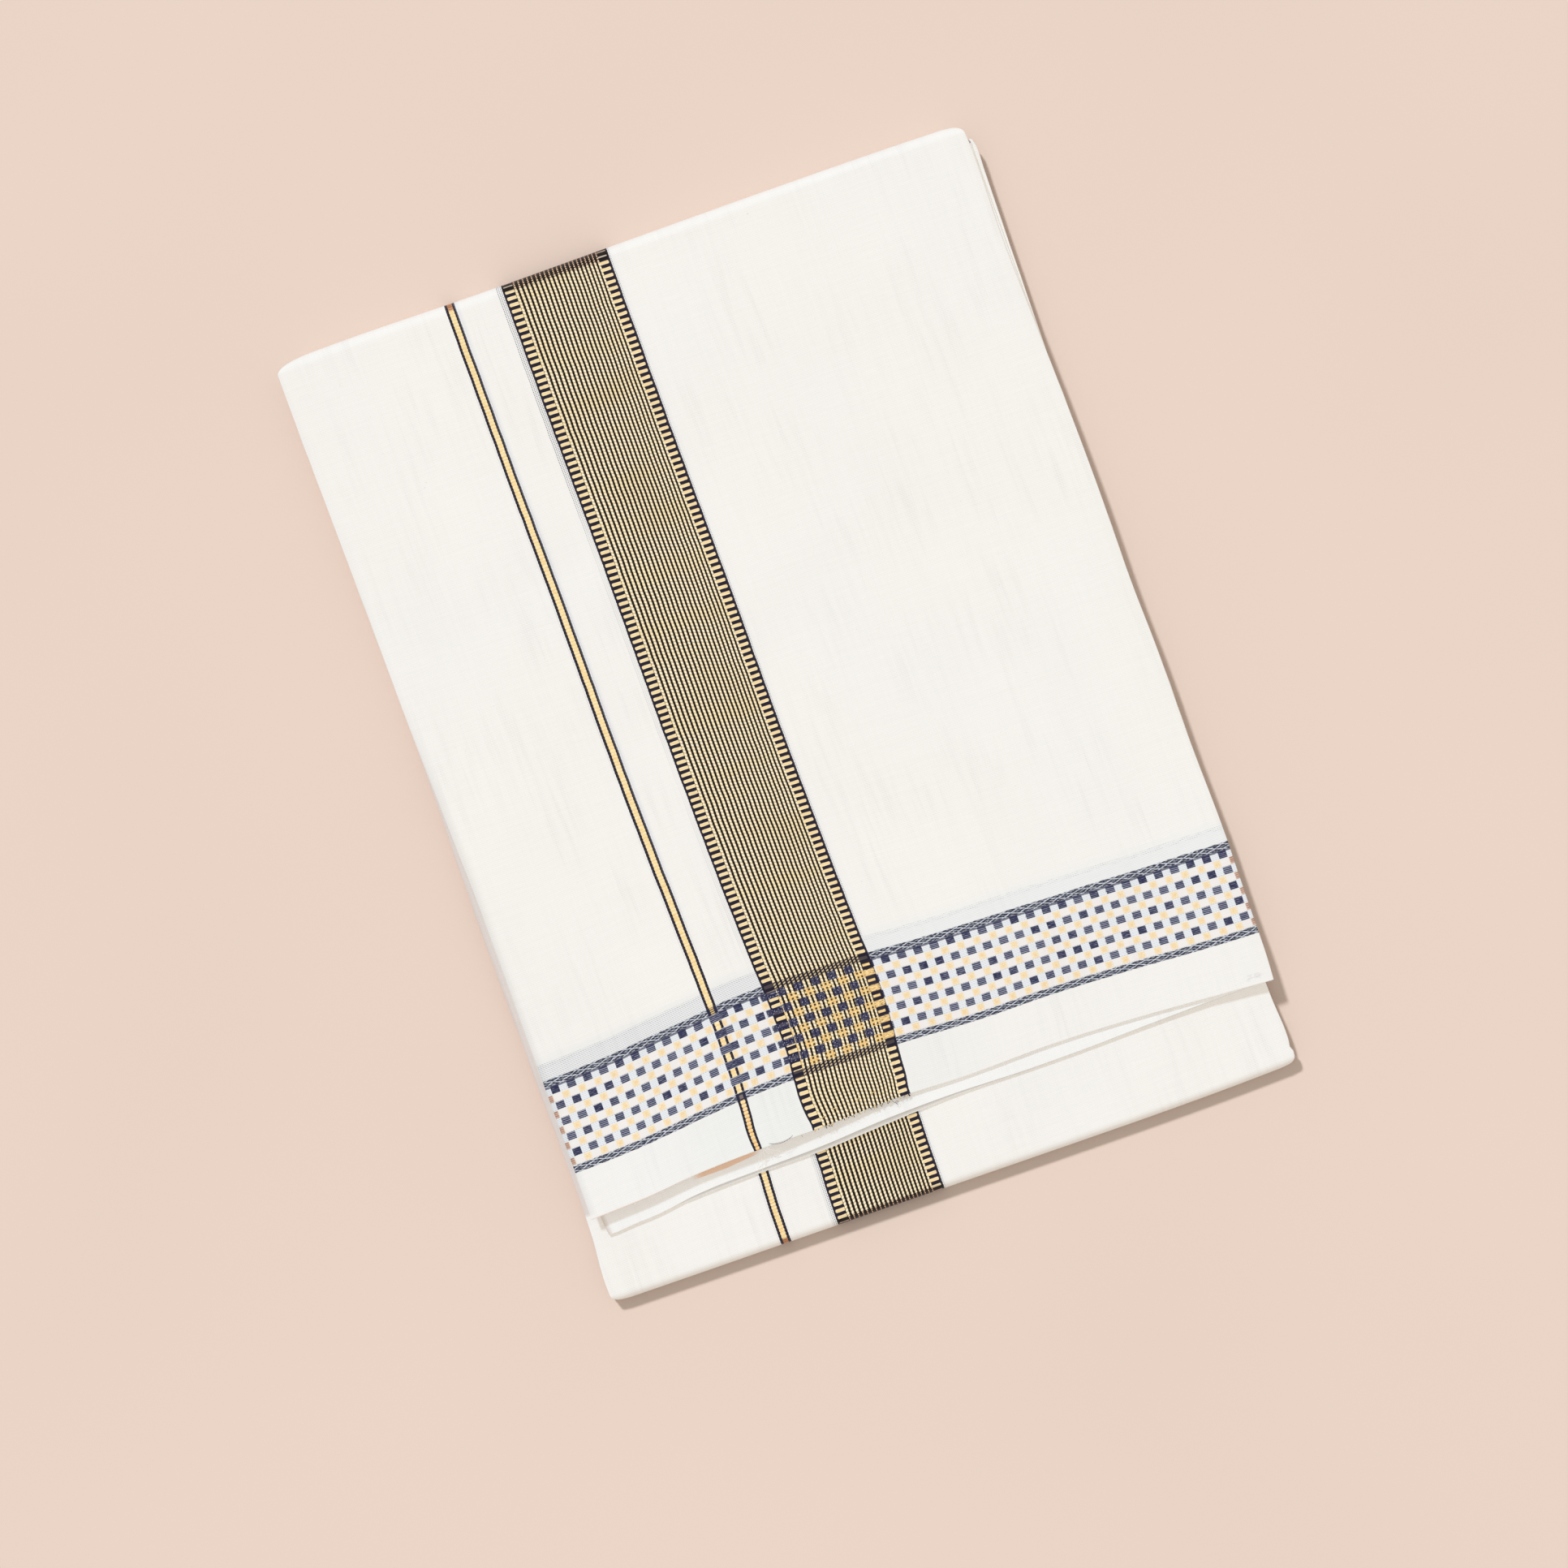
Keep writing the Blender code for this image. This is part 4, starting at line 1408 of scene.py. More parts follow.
        # the colour that strays into the white beside the stripes
        dots = along.wave(PICK).rise(0.35, 0.75)
        away, past = BORDER_LEFT - across, across - BORDER_RIGHT
        rank = abs((away / 0.65 + 0.81).fraction() - 0.5)
        patchy = graph.noise(across * 0.0, along, 9.0, 70.0, 13.0).rise(0.4, 0.55)
        strong = along.rise(195.0, 250.0).larger(patchy * 0.25)
        nearer = 1.0 - away.rise(0.4, 2.0) * lower * 0.8
        left_ghost = rank.fall(0.14, 0.3) * away.within(0.1, 2.0, 0.1) * nearer * (strong * 0.9 + 0.1)
        right_ghost, thin_ghost = abs(past - 0.38).fall(0.1, 0.24), abs(off - 2.45).fall(0.08, 0.2)
        stray = left_ghost + right_ghost * 0.6 + thin_ghost * patchy * 0.3
        wash = away.within(0.0, 1.8, 0.3) * strong * 0.5 + past.within(0.0, 1.6, 0.6) * 0.4
        up_packet = along.rise(60.0, 120.0) - along.above(FOLDED_BACK)
        wash = wash + right_of_thin.within(1.9, 3.2, 0.6) * up_packet * 1.3

        colour = coats(
            # over a fold, painted shade turns the navy ground black
            ground, (thin, thin_line), (thin_gold, gold), (wide, coats(NAVY, (bent, BLACK))), (comb, tooth),
            (lines, coats(BLACK, (nib * 0.3, SLATE), (pale, twisted))), (wash * 0.3, Dye(222, 225, 232)),
            (stray * dots, GHOST),
        )
        yarn = lines * pale
        height = thin_gold * 0.03 + comb * 0.05 + yarn * yarn_height + ticks * wide * 0.006
        return [colour, thin_gold.larger(comb).larger(yarn), height, yarn]


class Braid(Effect):
    """A narrow braid across the cloth: dark lozenges between crossing pale yarns."""

    name, inputs = "Braid", numbers("Across", "Height up", "Fibre")
    outputs = (COLOUR, *numbers("Cover"))

    def draw(self, graph: Graph, given: list) -> list:
        """Two sets of slanted strands, each a fraction of the place across plus or minus that up.

        Where two cross they are palest; the lozenges between them are dark with a paler streak inside.
        """
        across, height, fibre = given
        noise, coats = partial(graph.noise, across, height), graph.coats
        level = (height + noise(3.1, 9.0, 25.0) * 0.8 - 2.67) / 1.8
        place = (across + noise(7.0, 2.0, 26.0) * 0.9) / 5.85
        rising = abs((place - level).fraction() - 0.5)
        falling = abs((place + level).fraction() - 0.5)
        strand = (0.5 - rising.larger(falling)).fall(0.05, 0.12)
        finer = 0.25 - abs(rising - 0.25).larger(abs(falling - 0.25))
        strand = strand.larger(finer.fall(0.02, 0.07) * fibre.rise(0.42, 0.58) * 0.7)
        inside = 1.0 - (0.5 - rising).larger(0.5 - falling).rise(0.0, 0.5)
        streak, lie = fibre.rise(0.5, 0.72), noise(1.1, 0.5, 28.0)
        eye = (rising + falling).rise(0.24, 0.0) * 0.6
        pale = coats(Dye(232, 235, 240), ((1.0 - streak) * 0.5 * inside, Dye(168, 174, 190)))
        loose = (1.0 - strand) * lie.rise(0.55, 0.68) * fibre.rise(0.4, 0.6)
        colour = coats(
            Dye(42, 45, 66), (streak * 0.6, Dye(112, 118, 132)),
            (eye * (0.4 + 0.6 * fibre), Dye(150, 156, 168)),
            (strand * (0.45 + 0.55 * lie.rise(0.3, 0.6)), pale), (loose * 0.75, Dye(210, 215, 224)),
        )
        edge = fibre * 0.4 - 0.2
        return [colour, (height + edge).within(0.1, BRAID - 0.05, 0.1)]


class CheckRows:
    """A place in the rows of checks."""

    def __init__(self, across: Field, along: Field) -> None:
        """Work the row out, whole at the foot of each, how far up it the place is and whether it is dark."""
        self.across, self.along = across, along
        self.row = (along - PLAIN_END - CHECK_FOOT) / CHECK_ROW
        self.up = self.row.fraction()
        self.dark = ((self.row.whole() * 0.5).fraction() * 2.0).rise(0.4, 0.6)


class PatternedEnd(Effect):
    """The band across the cut end: two braids with rows of checks between them, and open weave past."""

    name, inputs = "Patterned end", (*ACROSS_ALONG, GROUND, *numbers("Turned", "Pale yarn"))
    outputs = (COLOUR, *numbers("Zari", "Height", "Open"))

    def columns(self, across: Field) -> Field:
        """Place in the columns of the checks, whole at a dark column's middle.

        Three runs: from the left edge, from right of the thin stripe and from right of the wide one,
        with columns 5.85, 6.05 and 5.976 wide that start at -122.2, -54.2 and 0.
        """
        past_thin = across.above(-58.2)
        past_border = across.above(BORDER_RIGHT)
        start = past_thin * 68.0 + past_border * 54.2 - 122.2
        return (across - start) / (past_thin * 0.2 - past_border * 0.074 + 5.85)

    def checks(self, graph: Graph, at: CheckRows, turned: Field) -> tuple[Tint, Field]:
        """The checks: dark and gold floats in alternate rows, half a column apart, white between them.

        Args:
            graph: the graph to add to.
            at: the place in the rows.
            turned: how far the cloth has turned over its side fold.

        Returns:
            Their colour, and how much of it is gold.
        """
        across, along, up = at.across, at.along, at.up
        noise, coats = partial(graph.noise, across, along), graph.coats
        fibre, fleck = noise(1.7, 0.24, 21.0), noise(0.8, 0.7, 27.0)
        count = self.columns(across) + 0.5
        nearest = count.fraction() - 0.5
        jitter = graph.chance(count.whole() + at.row.whole() * 31.0 + 40.0)

        # dark floats: four bars each, pale where they slack, and a nub on the left
        edge = jitter * 0.02 + 0.23 + fibre * 0.035
        dark = (abs(nearest + 0.006) - edge).fall(-0.012, 0.014)
        nub = nearest.within(-0.31, -0.235, 0.012) * up.within(0.3, 0.5, 0.05) * jitter.rise(0.4, 0.5)
        dark = dark.larger(nub * 0.7)
        dark = dark.larger(across.within(THIN_STRIPE - 2.1, THIN_STRIPE + 4.6, 0.1))
        dark = dark * up.within(0.045, 0.965, 0.03)
        bars = (up * 4.6 + 0.15 + nearest * 0.5).fraction().within(0.0, 0.36, 0.12)
        slack = bars * (fibre * 0.9 + jitter * 0.45).rise(0.38, 0.85)
        ink = coats(
            INK, (slack * 0.85, Dye(196, 200, 214)),
            (fibre.rise(0.45, 0.8) * (0.2 + jitter * 0.45), Dye(112, 116, 132)),
        )

        # gold floats: soft at their sides, deeper in their middles
        away = 0.5 - abs(nearest)
        gold = (away + fibre * 0.05).fall(0.19, 0.285) * up.within(0.09, 0.93, 0.07)
        middle = away.fall(0.0, 0.2) * abs(up - 0.5).fall(0.1, 0.4)
        hatch = (up * 4.0 + 0.3).fraction().within(0.0, 0.3, 0.1)
        # painted shade with a warm painted reflection: the gold floats where the cloth turns over its side
        # fold
        fold_shaded_gilt = coats(
            Dye(198, 146, 118), (fibre.rise(0.4, 0.7), Dye(140, 94, 74)), (hatch * 0.6, Dye(236, 216, 202))
        )
        gilt = coats(
            Dye(251, 234, 196), (middle * 0.4 + fleck.rise(0.3, 0.6) * 0.5, Dye(244, 206, 146)),
            # the palest flecks are painted highlights on the gold floats
            (fleck.rise(0.58, 0.74) * 0.8, Dye(255, 247, 226)), (turned.rise(0.04, 0.4), fold_shaded_gilt),
        )

        dots = along.wave(PICK).rise(0.4, 0.9) * (across.wave(2 * END_SPACING) * 0.5 + 0.5)
        seam = up.fall(0.02, 0.08) * across.wave(2 * END_SPACING).rise(0.3, 0.7)
        first = 1.0 - across.above(-123.4)
        covered = gold * (0.85 + 0.15 * fibre) * (1.0 - first * turned.fall(0.01, 0.06))
        pale_cell = coats(Dye(247, 242, 238), (dots * 0.1 + seam * 0.6, Dye(166, 160, 156)), (covered, gilt))
        dark_cell = coats(Dye(245, 247, 249), (dots * 0.48 + seam * 0.35, Dye(142, 150, 166)), (dark, ink))
        return coats(pale_cell, (at.dark, dark_cell)), gold * (1.0 - at.dark)

    def crossing(self, graph: Graph, at: CheckRows, under: Tint, pale_yarn: Field) -> tuple[Tint, Field]:
        """The same rows over the wide stripe: patches of dark and gold floats between its yarns.

        Args:
            graph: the graph to add to.
            at: the place in the rows.
            under: colour of the stripe.
            pale_yarn: how much of it is its twisted yarn.

        Returns:
            Its colour, and how much of it is gold.
        """
        across, along, up, dark_row = at.across, at.along, at.up, at.dark
        noise, coats = partial(graph.noise, across, along), graph.coats
        fibre, fleck = noise(1.2, 0.26, 23.0), noise(0.55, 0.45, 22.0)
        place = (across + 32.0) / 6.15
        within = across.within(BORDER_LEFT + 4.1, BORDER_RIGHT - 3.9, 0.1)
        wobble = fleck * 0.06 - 0.03

        dark_patch = (abs((place + 0.5).fraction() - 0.5) + wobble).fall(0.235, 0.265)
        dark_patch = dark_patch * dark_row * up.within(-0.02, 1.02, 0.03) * within
        left_edge = (across + wobble * 20.0).within(BORDER_LEFT - 1.7, BORDER_LEFT + 4.2, 0.15) * dark_row
        left_edge = left_edge * up.within(0.08, 0.94, 0.03)
        patch = coats(Dye(38, 38, 74), (fleck.rise(0.6, 0.7) * 0.9, Dye(196, 200, 214)))

        gold_patch = (abs(place.fraction() - 0.5) + wobble).fall(0.265, 0.295)
        gold_patch = gold_patch * (1.0 - dark_row) * up.within(0.04, 0.97, 0.06) * within
        pit = (1.0 - pale_yarn) * (up * 2.0).fraction().within(0.24, 0.76, 0.08)
        gilt = coats(
            Dye(254, 226, 158), (fibre.rise(0.3, 0.7), Dye(232, 178, 96)),
            # the palest flecks are painted highlights on the gold patches
            (fleck.rise(0.6, 0.7) * 0.8, Dye(255, 246, 214)), (pit * 0.95, Dye(46, 28, 22)),
        )

        # over the right comb: a tooth in each dark row, a tuft of gold in each other one
        on_comb = across.within(BORDER_RIGHT - 3.9, BORDER_RIGHT + 0.1, 0.05)
        tooth = across.within(BORDER_RIGHT - 3.5, BORDER_RIGHT - 0.9, 0.12) * up.within(0.34, 0.64, 0.05)
        comb = coats(NAVY, (tooth, coats(Dye(252, 222, 158), (fibre.rise(0.4, 0.7), Dye(232, 182, 108)))))
        ragged = (across + fibre * 1.6).within(BORDER_RIGHT - 3.2, BORDER_RIGHT + 0.6, 0.25)
        tuft = ragged * (1.0 - dark_row) * (up + fibre * 0.16 - 0.08).within(0.12, 0.88, 0.07)
        spilt = coats(
            Dye(255, 228, 164), (fibre.rise(0.35, 0.6) * 0.7, Dye(220, 164, 92)),
            (fibre.rise(0.58, 0.68) * 0.8, Dye(88, 60, 44)),
        )
        loose = across.within(BORDER_RIGHT, BORDER_RIGHT + 2.4, 0.5) * fibre.rise(0.45, 0.7)
        colour = coats(
            under, (dark_patch.larger(left_edge) * 0.96, patch), (gold_patch * 0.95, gilt),
            (on_comb * dark_row, comb), (on_comb * (1.0 - dark_row), NAVY), (tuft, spilt),
            (loose * (1.0 - dark_row) * 0.6, Dye(252, 220, 156)),
        )
        return colour, gold_patch.larger(tuft)

    def draw(self, graph: Graph, given: list) -> list:
        """Row and column numbers pick each cell; inside the wide stripe the cells cover its lines."""
        across, along, ground, turned, pale_yarn = given
        noise, coats = partial(graph.noise, across, along), graph.coats
        warp, picks = across.wave(2 * END_SPACING), along.wave(PICK)
        deep = along - PLAIN_END
        on_border = across.within(BORDER_LEFT, BORDER_RIGHT, 0.08)
        by_border = across.within(BORDER_LEFT - 2.2, BORDER_RIGHT + 2.8, 0.1)
        on_thin = across.within(THIN_STRIPE - THIN_HALF, THIN_STRIPE + THIN_HALF, 0.08)
        plain = (1.0 - on_border) * (1.0 - on_thin)

        # dense white below, open weave above
        dense = deep.fall(-0.4, 0.0)
        # painted shade: the dense end is greyer in its middle, where it tilts
        tilt_shade = abs(across + 42.0).fall(20.0, 78.0)
        dense_colour = coats(DENSE_COTTON, (tilt_shade * 0.9, Dye(240, 240, 236)))
        raw = along.fall(0.12, 0.4) * across.fall(-100.0, -80.0)
        smudge = abs(across - 121.5).fall(1.5, 4.0) * abs(along - 2.8).fall(0.3, 1.5)
        smudge = smudge * noise(1.6, 0.8, 29.0).rise(0.35, 0.65)
        fading = deep.fall(BAND_DEEP + 5.6, BAND_DEEP + 9.5)
        fading = deep.fall(BAND_DEEP + 5.2, BAND_DEEP + 6.0) * 0.72 + fading * 0.28
        open_weave = deep.rise(BAND_DEEP - 0.3, BAND_DEEP) * fading
        last_rows = deep.within(BAND_DEEP + 4.0, BAND_DEEP + 5.8, 0.2) * picks.rise(0.4, 0.9)
        last_rows = last_rows * noise(2.2, 0.4, 25.0).rise(0.35, 0.7)
        rows_of_dots = open_weave * picks.rise(0.5, 0.95) * (0.5 + 0.5 * warp)
        left_side = 1.0 - across.rise(-60.0, 20.0) * 0.6
        colour = coats(
            ground, (dense * plain, dense_colour), (raw * 0.5, Dye(236, 200, 180)),
            (smudge * 0.3, Dye(176, 174, 176)), (open_weave * plain * 0.85, Dye(247, 248, 247)),
            (rows_of_dots * left_side * plain * 0.85, Dye(148, 151, 158)),
            (last_rows * plain * warp * 0.5, Dye(120, 122, 128)),
        )

        # rows of checks, under and over the stripes
        at = CheckRows(across, along)
        rows = deep.within(CHECK_FOOT - 0.1, BAND_DEEP - BRAID + 0.1, 0.06)
        cells, gold_cell = self.checks(graph, at, turned)
        beside = rows * (1.0 - on_border) * (1.0 - on_thin * (1.0 - at.dark))
        colour = coats(colour, (beside, cells))
        patches, gold_patch = self.crossing(graph, at, colour, pale_yarn)

        # braids: pale lozenges beside the stripes, dark with pale dots or bars over them
        fibre = noise(1.6, 0.2, 24.0)
        lower_colour, lower = graph.use(Braid(), across, deep, fibre)
        upper_colour, upper = graph.use(Braid(), across + 1.7, deep - (BAND_DEEP - BRAID), fibre)
        braided = lower.larger(upper)
        foot = (deep - BAND_DEEP + BRAID + fibre * 0.5 - 0.25).within(-0.45, 0.2, 0.1)
        spot = pale_yarn * (along - across * 0.4).wave(0.95).rise(0.4, 0.7)
        in_upper = deep.rise(5.0, 6.0)
        slot = (deep - 0.6).within(0.0, 1.3, 0.1) + in_upper * (deep / 0.72).fraction().within(0.3, 0.85, 0.1)
        slot = slot * abs(across - THIN_STRIPE).fall(0.6, 0.9)
        bar = coats(Dye(150, 136, 120), (in_upper, Dye(236, 202, 132)))
        colour = coats(
            colour, (rows * by_border, patches), (lower * plain, lower_colour), (upper * plain, upper_colour),
            (foot * plain * 0.8, INK),
            (on_border * braided * 0.95, coats(Dye(30, 25, 44), (spot * 0.85, Dye(232, 206, 152)))),
            (on_thin * braided, coats(Dye(40, 40, 66), (slot * (0.6 + 0.3 * in_upper), bar))),
        )

        zari = rows * gold_cell * beside + rows * gold_patch * by_border
        height = rows * beside * (gold_cell * 0.03 + (at.row * 3.0).fraction().within(0.4, 1.0, 0.1) * 0.02)
        height = height + (lower + upper) * (0.02 + 0.03 * fibre) + gold_patch * rows * by_border * 0.04
        return [colour, zari * 0.8, height, open_weave * 0.6 + rows * beside * 0.25]


class Weave(Enum):
    """What a piece of the cloth is woven with."""

    PLAIN = "plain"
    STRIPED = "striped"
    PATTERNED = "striped, with the patterned end"


@dataclass(frozen=True)
class Finish:
    """What a piece is dressed in."""

    name: str  # the material's name
    slot: str  # the record's material slot it stands for

    def material(self) -> bpy.types.Material:
        """The material, made the first time it is asked for."""
        found = bpy.data.materials.get(self.name)
        if found:
            return found
        made = bpy.data.materials.new(self.name)
        made.use_nodes = True
        self.dress(Graph(made.node_tree), made.node_tree.nodes["Principled BSDF"])
        return made

    def wear(self, mesh: bpy.types.Mesh) -> None:
        """Put the material on all of a mesh."""
        mesh.materials.append(self.material())

    def dress(self, graph: Graph, shader: bpy.types.Node) -> None:
        """Feed the shader."""
        raise NotImplementedError


@dataclass(frozen=True)
class Cotton(Finish):
    """Pressed cotton, with whichever of its woven patterns a stretch shows."""

    weave: Weave  # what it is woven with
    ground: Dye = COTTON  # colour of the plain cloth
    sliver_and_rim_shade: bool = False  # whether it has a warm peach sliver under the lifted end's line, and painted shade on its left rim
    # the same cotton without its patterns, one pattern less each, for where they don't reach
    away: tuple["Cotton", ...] = ()

    def wear(self, mesh: bpy.types.Mesh) -> None:
        """Put the material on the faces that its patterns reach, and its plainer ones on the rest."""
        for finish in (self, *self.away):
            mesh.materials.append(finish.material())
        if not self.away:
            return
        corners = np.zeros(len(mesh.loops) * 2)
        mesh.uv_layers["Cloth"].data.foreach_get("uv", corners)
        across, along = corners.reshape(-1, 2).T / MM
        starts = np.zeros(len(mesh.polygons), dtype=int)
        mesh.polygons.foreach_get("loop_start", starts)
        low, high = np.minimum.reduceat(across, starts), np.maximum.reduceat(across, starts)
        on_thin = (high > THIN_STRIPE - STRIPE_REACH) & (low < THIN_STRIPE + STRIPE_REACH)
        on_wide = (high > BORDER_LEFT - STRIPE_REACH) & (low < BORDER_RIGHT + STRIPE_REACH)
        in_band = np.minimum.reduceat(along, starts) < BAND_HEAD + OPEN_WEAVE
        worn = np.where(on_thin | on_wide, 0, 1)
        if self.weave is Weave.PATTERNED:
            worn = np.where(in_band, 0, worn + 1)
        mesh.polygons.foreach_set("material_index", worn)

    def dress(self, graph: Graph, shader: bpy.types.Node) -> None:
        """Plain weave first, then the lengthwise stripes, then the patterned end over both."""
        across, along = graph.cloth_place()
        turned = Field(graph, graph.node("ShaderNodeAttribute", attribute_name="Turn").outputs["Fac"])
        cool = graph.noise(across, along, 60.0, 80.0, 31.0)
        colour = graph.mix(cool * 0.5, self.ground, Dye(244, 243, 241))
        zari, height, open_weave = None, None, 0.0
        if self.weave is not Weave.PLAIN:
            colour, zari, height, yarn = graph.use(WovenBorder(), across, along, colour, turned)
        if self.weave is Weave.PATTERNED:
            colour, gold, floats, open_weave = graph.use(PatternedEnd(), across, along, colour, turned, yarn)
            zari, height = zari.larger(gold), height + floats
        if self.sliver_and_rim_shade:
            colour = self.add_sliver_and_rim_shade(graph, colour, turned)
        colour, = graph.use(SideShade(), Tint(graph.object_place()), colour)
        shade, weave_height = graph.use(PlainWeave(), across, along, open_weave)
        gilded = {} if zari is None else {"Roughness": 0.86 - zari * 0.36, "Metallic": zari * 0.08}
        graph.feed(
            shader, 0.55, weave_height if height is None else height + weave_height,
            **({"Base_Color": graph.scaled(colour, shade), "Roughness": 0.86} | gilded),
            Sheen_Weight=0.25, Sheen_Roughness=0.5, Specular_IOR_Level=0.15,
        )

    def add_sliver_and_rim_shade(self, graph: Graph, colour: Tint, turned: Field) -> Tint:
        """A warm peach sliver just under the lifted end's line, and painted shade on the left rim."""
        x, y = graph.millimetres(graph.object_place())
        foot = -142.75 + (x + 75.0).larger(0.0) * 0.09
        sliver = (y - foot).rise(-0.12, 0.12) * x.within(-86.0, -63.5, 2.2)
        # painted shade: the crevice along the second end's left rim
        colour = graph.mix(turned * x.fall(-119.0, -117.0) * 0.6, colour, Dye(206, 186, 174))
        return graph.mix(sliver * 0.8, colour, Dye(240, 196, 160))


@dataclass(frozen=True)
class Yarn(Finish):
    """A loose yarn, twisted and a little hairy."""

    light: Dye  # painted highlight: its colour on the crown of the twist
    dark: Dye  # painted shade: its colour in the groove
    gloss: float  # how smooth its fibres lie, 0 dull to 1
    painted_glow: float = 0.0  # painted light: an emission that makes it glow, in place of the light that comes through it where it is a few clear fibres

    def dress(self, graph: Graph, shader: bpy.types.Node) -> None:
        """Slanted bands of the two colours along the yarn: the twist's own banding, with a painted highlight
        on its crowns and painted shade in its grooves.
        """
        across, along = graph.cloth_place()
        band = (along + across * 0.8).wave(0.55)
        hair = graph.noise(across, along, 0.3, 2.0, 41.0)
        # painted highlight and shade: the bands are light on the twist's crowns and dark in its grooves
        groove = band.rise(0.1, 0.7) * 0.8 + hair * 0.2
        # painted light: the yarn's own colour given out as emission
        lit = {"Emission_Color": self.light, "Emission_Strength": self.painted_glow} if self.painted_glow else {}
        graph.feed(
            shader, 0.4, groove * 0.03, Base_Color=graph.mix(groove, self.dark, self.light),
            Roughness=0.9 - self.gloss * 0.5 * groove, **lit,
        )


@dataclass(frozen=True)
class PaperFloor(Finish):
    """A plain pale studio floor with the faintest tooth."""

    tone: Dye = Dye(231, 214, 204)

    def dress(self, graph: Graph, shader: bpy.types.Node) -> None:
        """One colour, with soft clouds in it."""
        x, y = graph.millimetres(graph.object_place())
        paler = Dye(self.tone.red + 5.0, self.tone.green + 5.0, self.tone.blue + 5.0)
        graph.feed(
            shader, 0.2, graph.noise(x, y, 1.2, 1.2, 52.0) * 0.05,
            Base_Color=graph.mix(graph.noise(x, y, 160.0, 160.0, 51.0), self.tone, paler),
            Roughness=0.9, Specular_IOR_Level=0.2,
        )


SMOOTH_COTTON = Cotton("Smooth cotton", "striped_cotton", Weave.PLAIN)
STRIPED_COTTON = Cotton("Striped cotton", "striped_cotton", Weave.STRIPED, away=(SMOOTH_COTTON,))
BORDERED_COTTON = Cotton(
    "Bordered cotton", "bordered_cotton", Weave.PATTERNED, away=(STRIPED_COTTON, SMOOTH_COTTON)
)
PLAIN_COTTON = Cotton("Plain end cotton", "plain_end_cotton", Weave.PLAIN, Dye(250, 249, 246), sliver_and_rim_shade=True)
# painted shade: the hidden layers' sides and the inner plies under the lifted end get a darker pinkish ground
# in place of the shade between the plies
SHADED_LAYER_COTTON = Cotton("Layered cotton", "layered_cotton", Weave.PLAIN, Dye(224, 212, 206))
WHITE_YARN = Yarn("White yarn", "bordered_cotton", Dye(248, 246, 240), Dye(206, 202, 194), 0.1, painted_glow=0.25)
GILT_YARN = Yarn("Gilt yarn", "bordered_cotton", Dye(250, 228, 172), Dye(190, 140, 80), 0.8)
NAVY_YARN = Yarn("Navy yarn", "bordered_cotton", Dye(70, 64, 78), Dye(34, 28, 34), 0.2)


# --- Loose yarns ----------------------------------------------------------------------------------
@dataclass
class YarnBundle:
    """Many thin yarns of one kind, in one piece."""

    name: str  # the piece's name
    lines: list  # middle lines, each (stations, 3), in millimetres
    radii: list  # thickness of each, as a radius
    sides: int = 6  # faces round a yarn
    taper: float = 0.45  # how thin its two ends are, as a share of its radius

    def build(self, finish: Finish) -> bpy.types.Object:
        """Make the piece; each yarn has a cell of its own in the bake map.

        Args:
            finish: the yarn's finish.

        Returns:
            The piece.
        """
        parts = MeshParts.empty()
        cells = math.ceil(math.sqrt(len(self.lines)))
        for i, (line, radius) in enumerate(zip(self.lines, self.radii)):
            self.add_yarn(parts, line, radius, (i % cells, i // cells, cells), 7.3 * i)
        return parts.piece(self.name, finish)

    def add_yarn(self, parts: MeshParts, line: Array, radius: float, cell: tuple, start: float) -> None:
        """Add one yarn: rings square to its middle line, thinner at its ends, closed with a fan at each.

        Args:
            parts: the mesh to add to.
            line: the middle line.
            radius: its radius.
            cell: column and row of its cell in the bake map, and how many cells lie side by side.
            start: place along the yarn where its twist starts.
        """
        count, sides = len(line), self.sides
        ahead = np.gradient(line, axis=0)
        ahead /= np.linalg.norm(ahead, axis=1, keepdims=True)
        level = np.cross(ahead, (0.0, 0.0, 1.0))
        level = np.where(np.linalg.norm(level, axis=1, keepdims=True) < 0.05, (1.0, 0.0, 0.0), level)
        level /= np.linalg.norm(level, axis=1, keepdims=True)
        rise = np.cross(level, ahead)
        run = np.linspace(-1.0, 1.0, count)
        width = radius * (self.taper + (1.0 - self.taper) * np.sqrt(1.0 - 0.999 * run**6))
        turn = (np.arange(sides) * math.tau / sides)[:, None]
        ring = level[:, None] * np.cos(turn) + rise[:, None] * np.sin(turn)
        length, about = run_length(line), np.arange(sides + 1) / sides
        cloth = spread(about * math.tau * radius, start + length[:, None])
        column, row, cells = cell
        up = (row + 0.16 + 0.68 * length / length[-1]) / cells
        bake = spread((column + 0.06 + 0.88 * about) / cells, up[:, None])
        first = parts.add_points(line[:, None] + ring * width[:, None, None])
        corners = grid_corners(count, sides, first, True)
        parts.add_faces(corners, at_corners(cloth), at_corners(bake), np.zeros(corners.shape))
        for station, out in ((0, -1.0), (count - 1, 1.0)):
            tip = parts.add_points(line[station] + out * ahead[station] * width[station] * 0.7)
            near = np.arange(sides)
            fan = np.stack((near, (near + 1) % sides, np.full(sides, tip - first - station * sides)), axis=1)
            edge, woven = bake[station], cloth[station]
            peak = (edge[:-1] + edge[1:]) / 2 + (0.0, out * 0.08 / cells)
            maps = (np.stack((v[:-1], v[1:], top), axis=1) for v, top in ((woven, woven[:-1]), (edge, peak)))
            parts.add_faces(first + station * sides + fan, *maps, np.zeros(fan.shape))


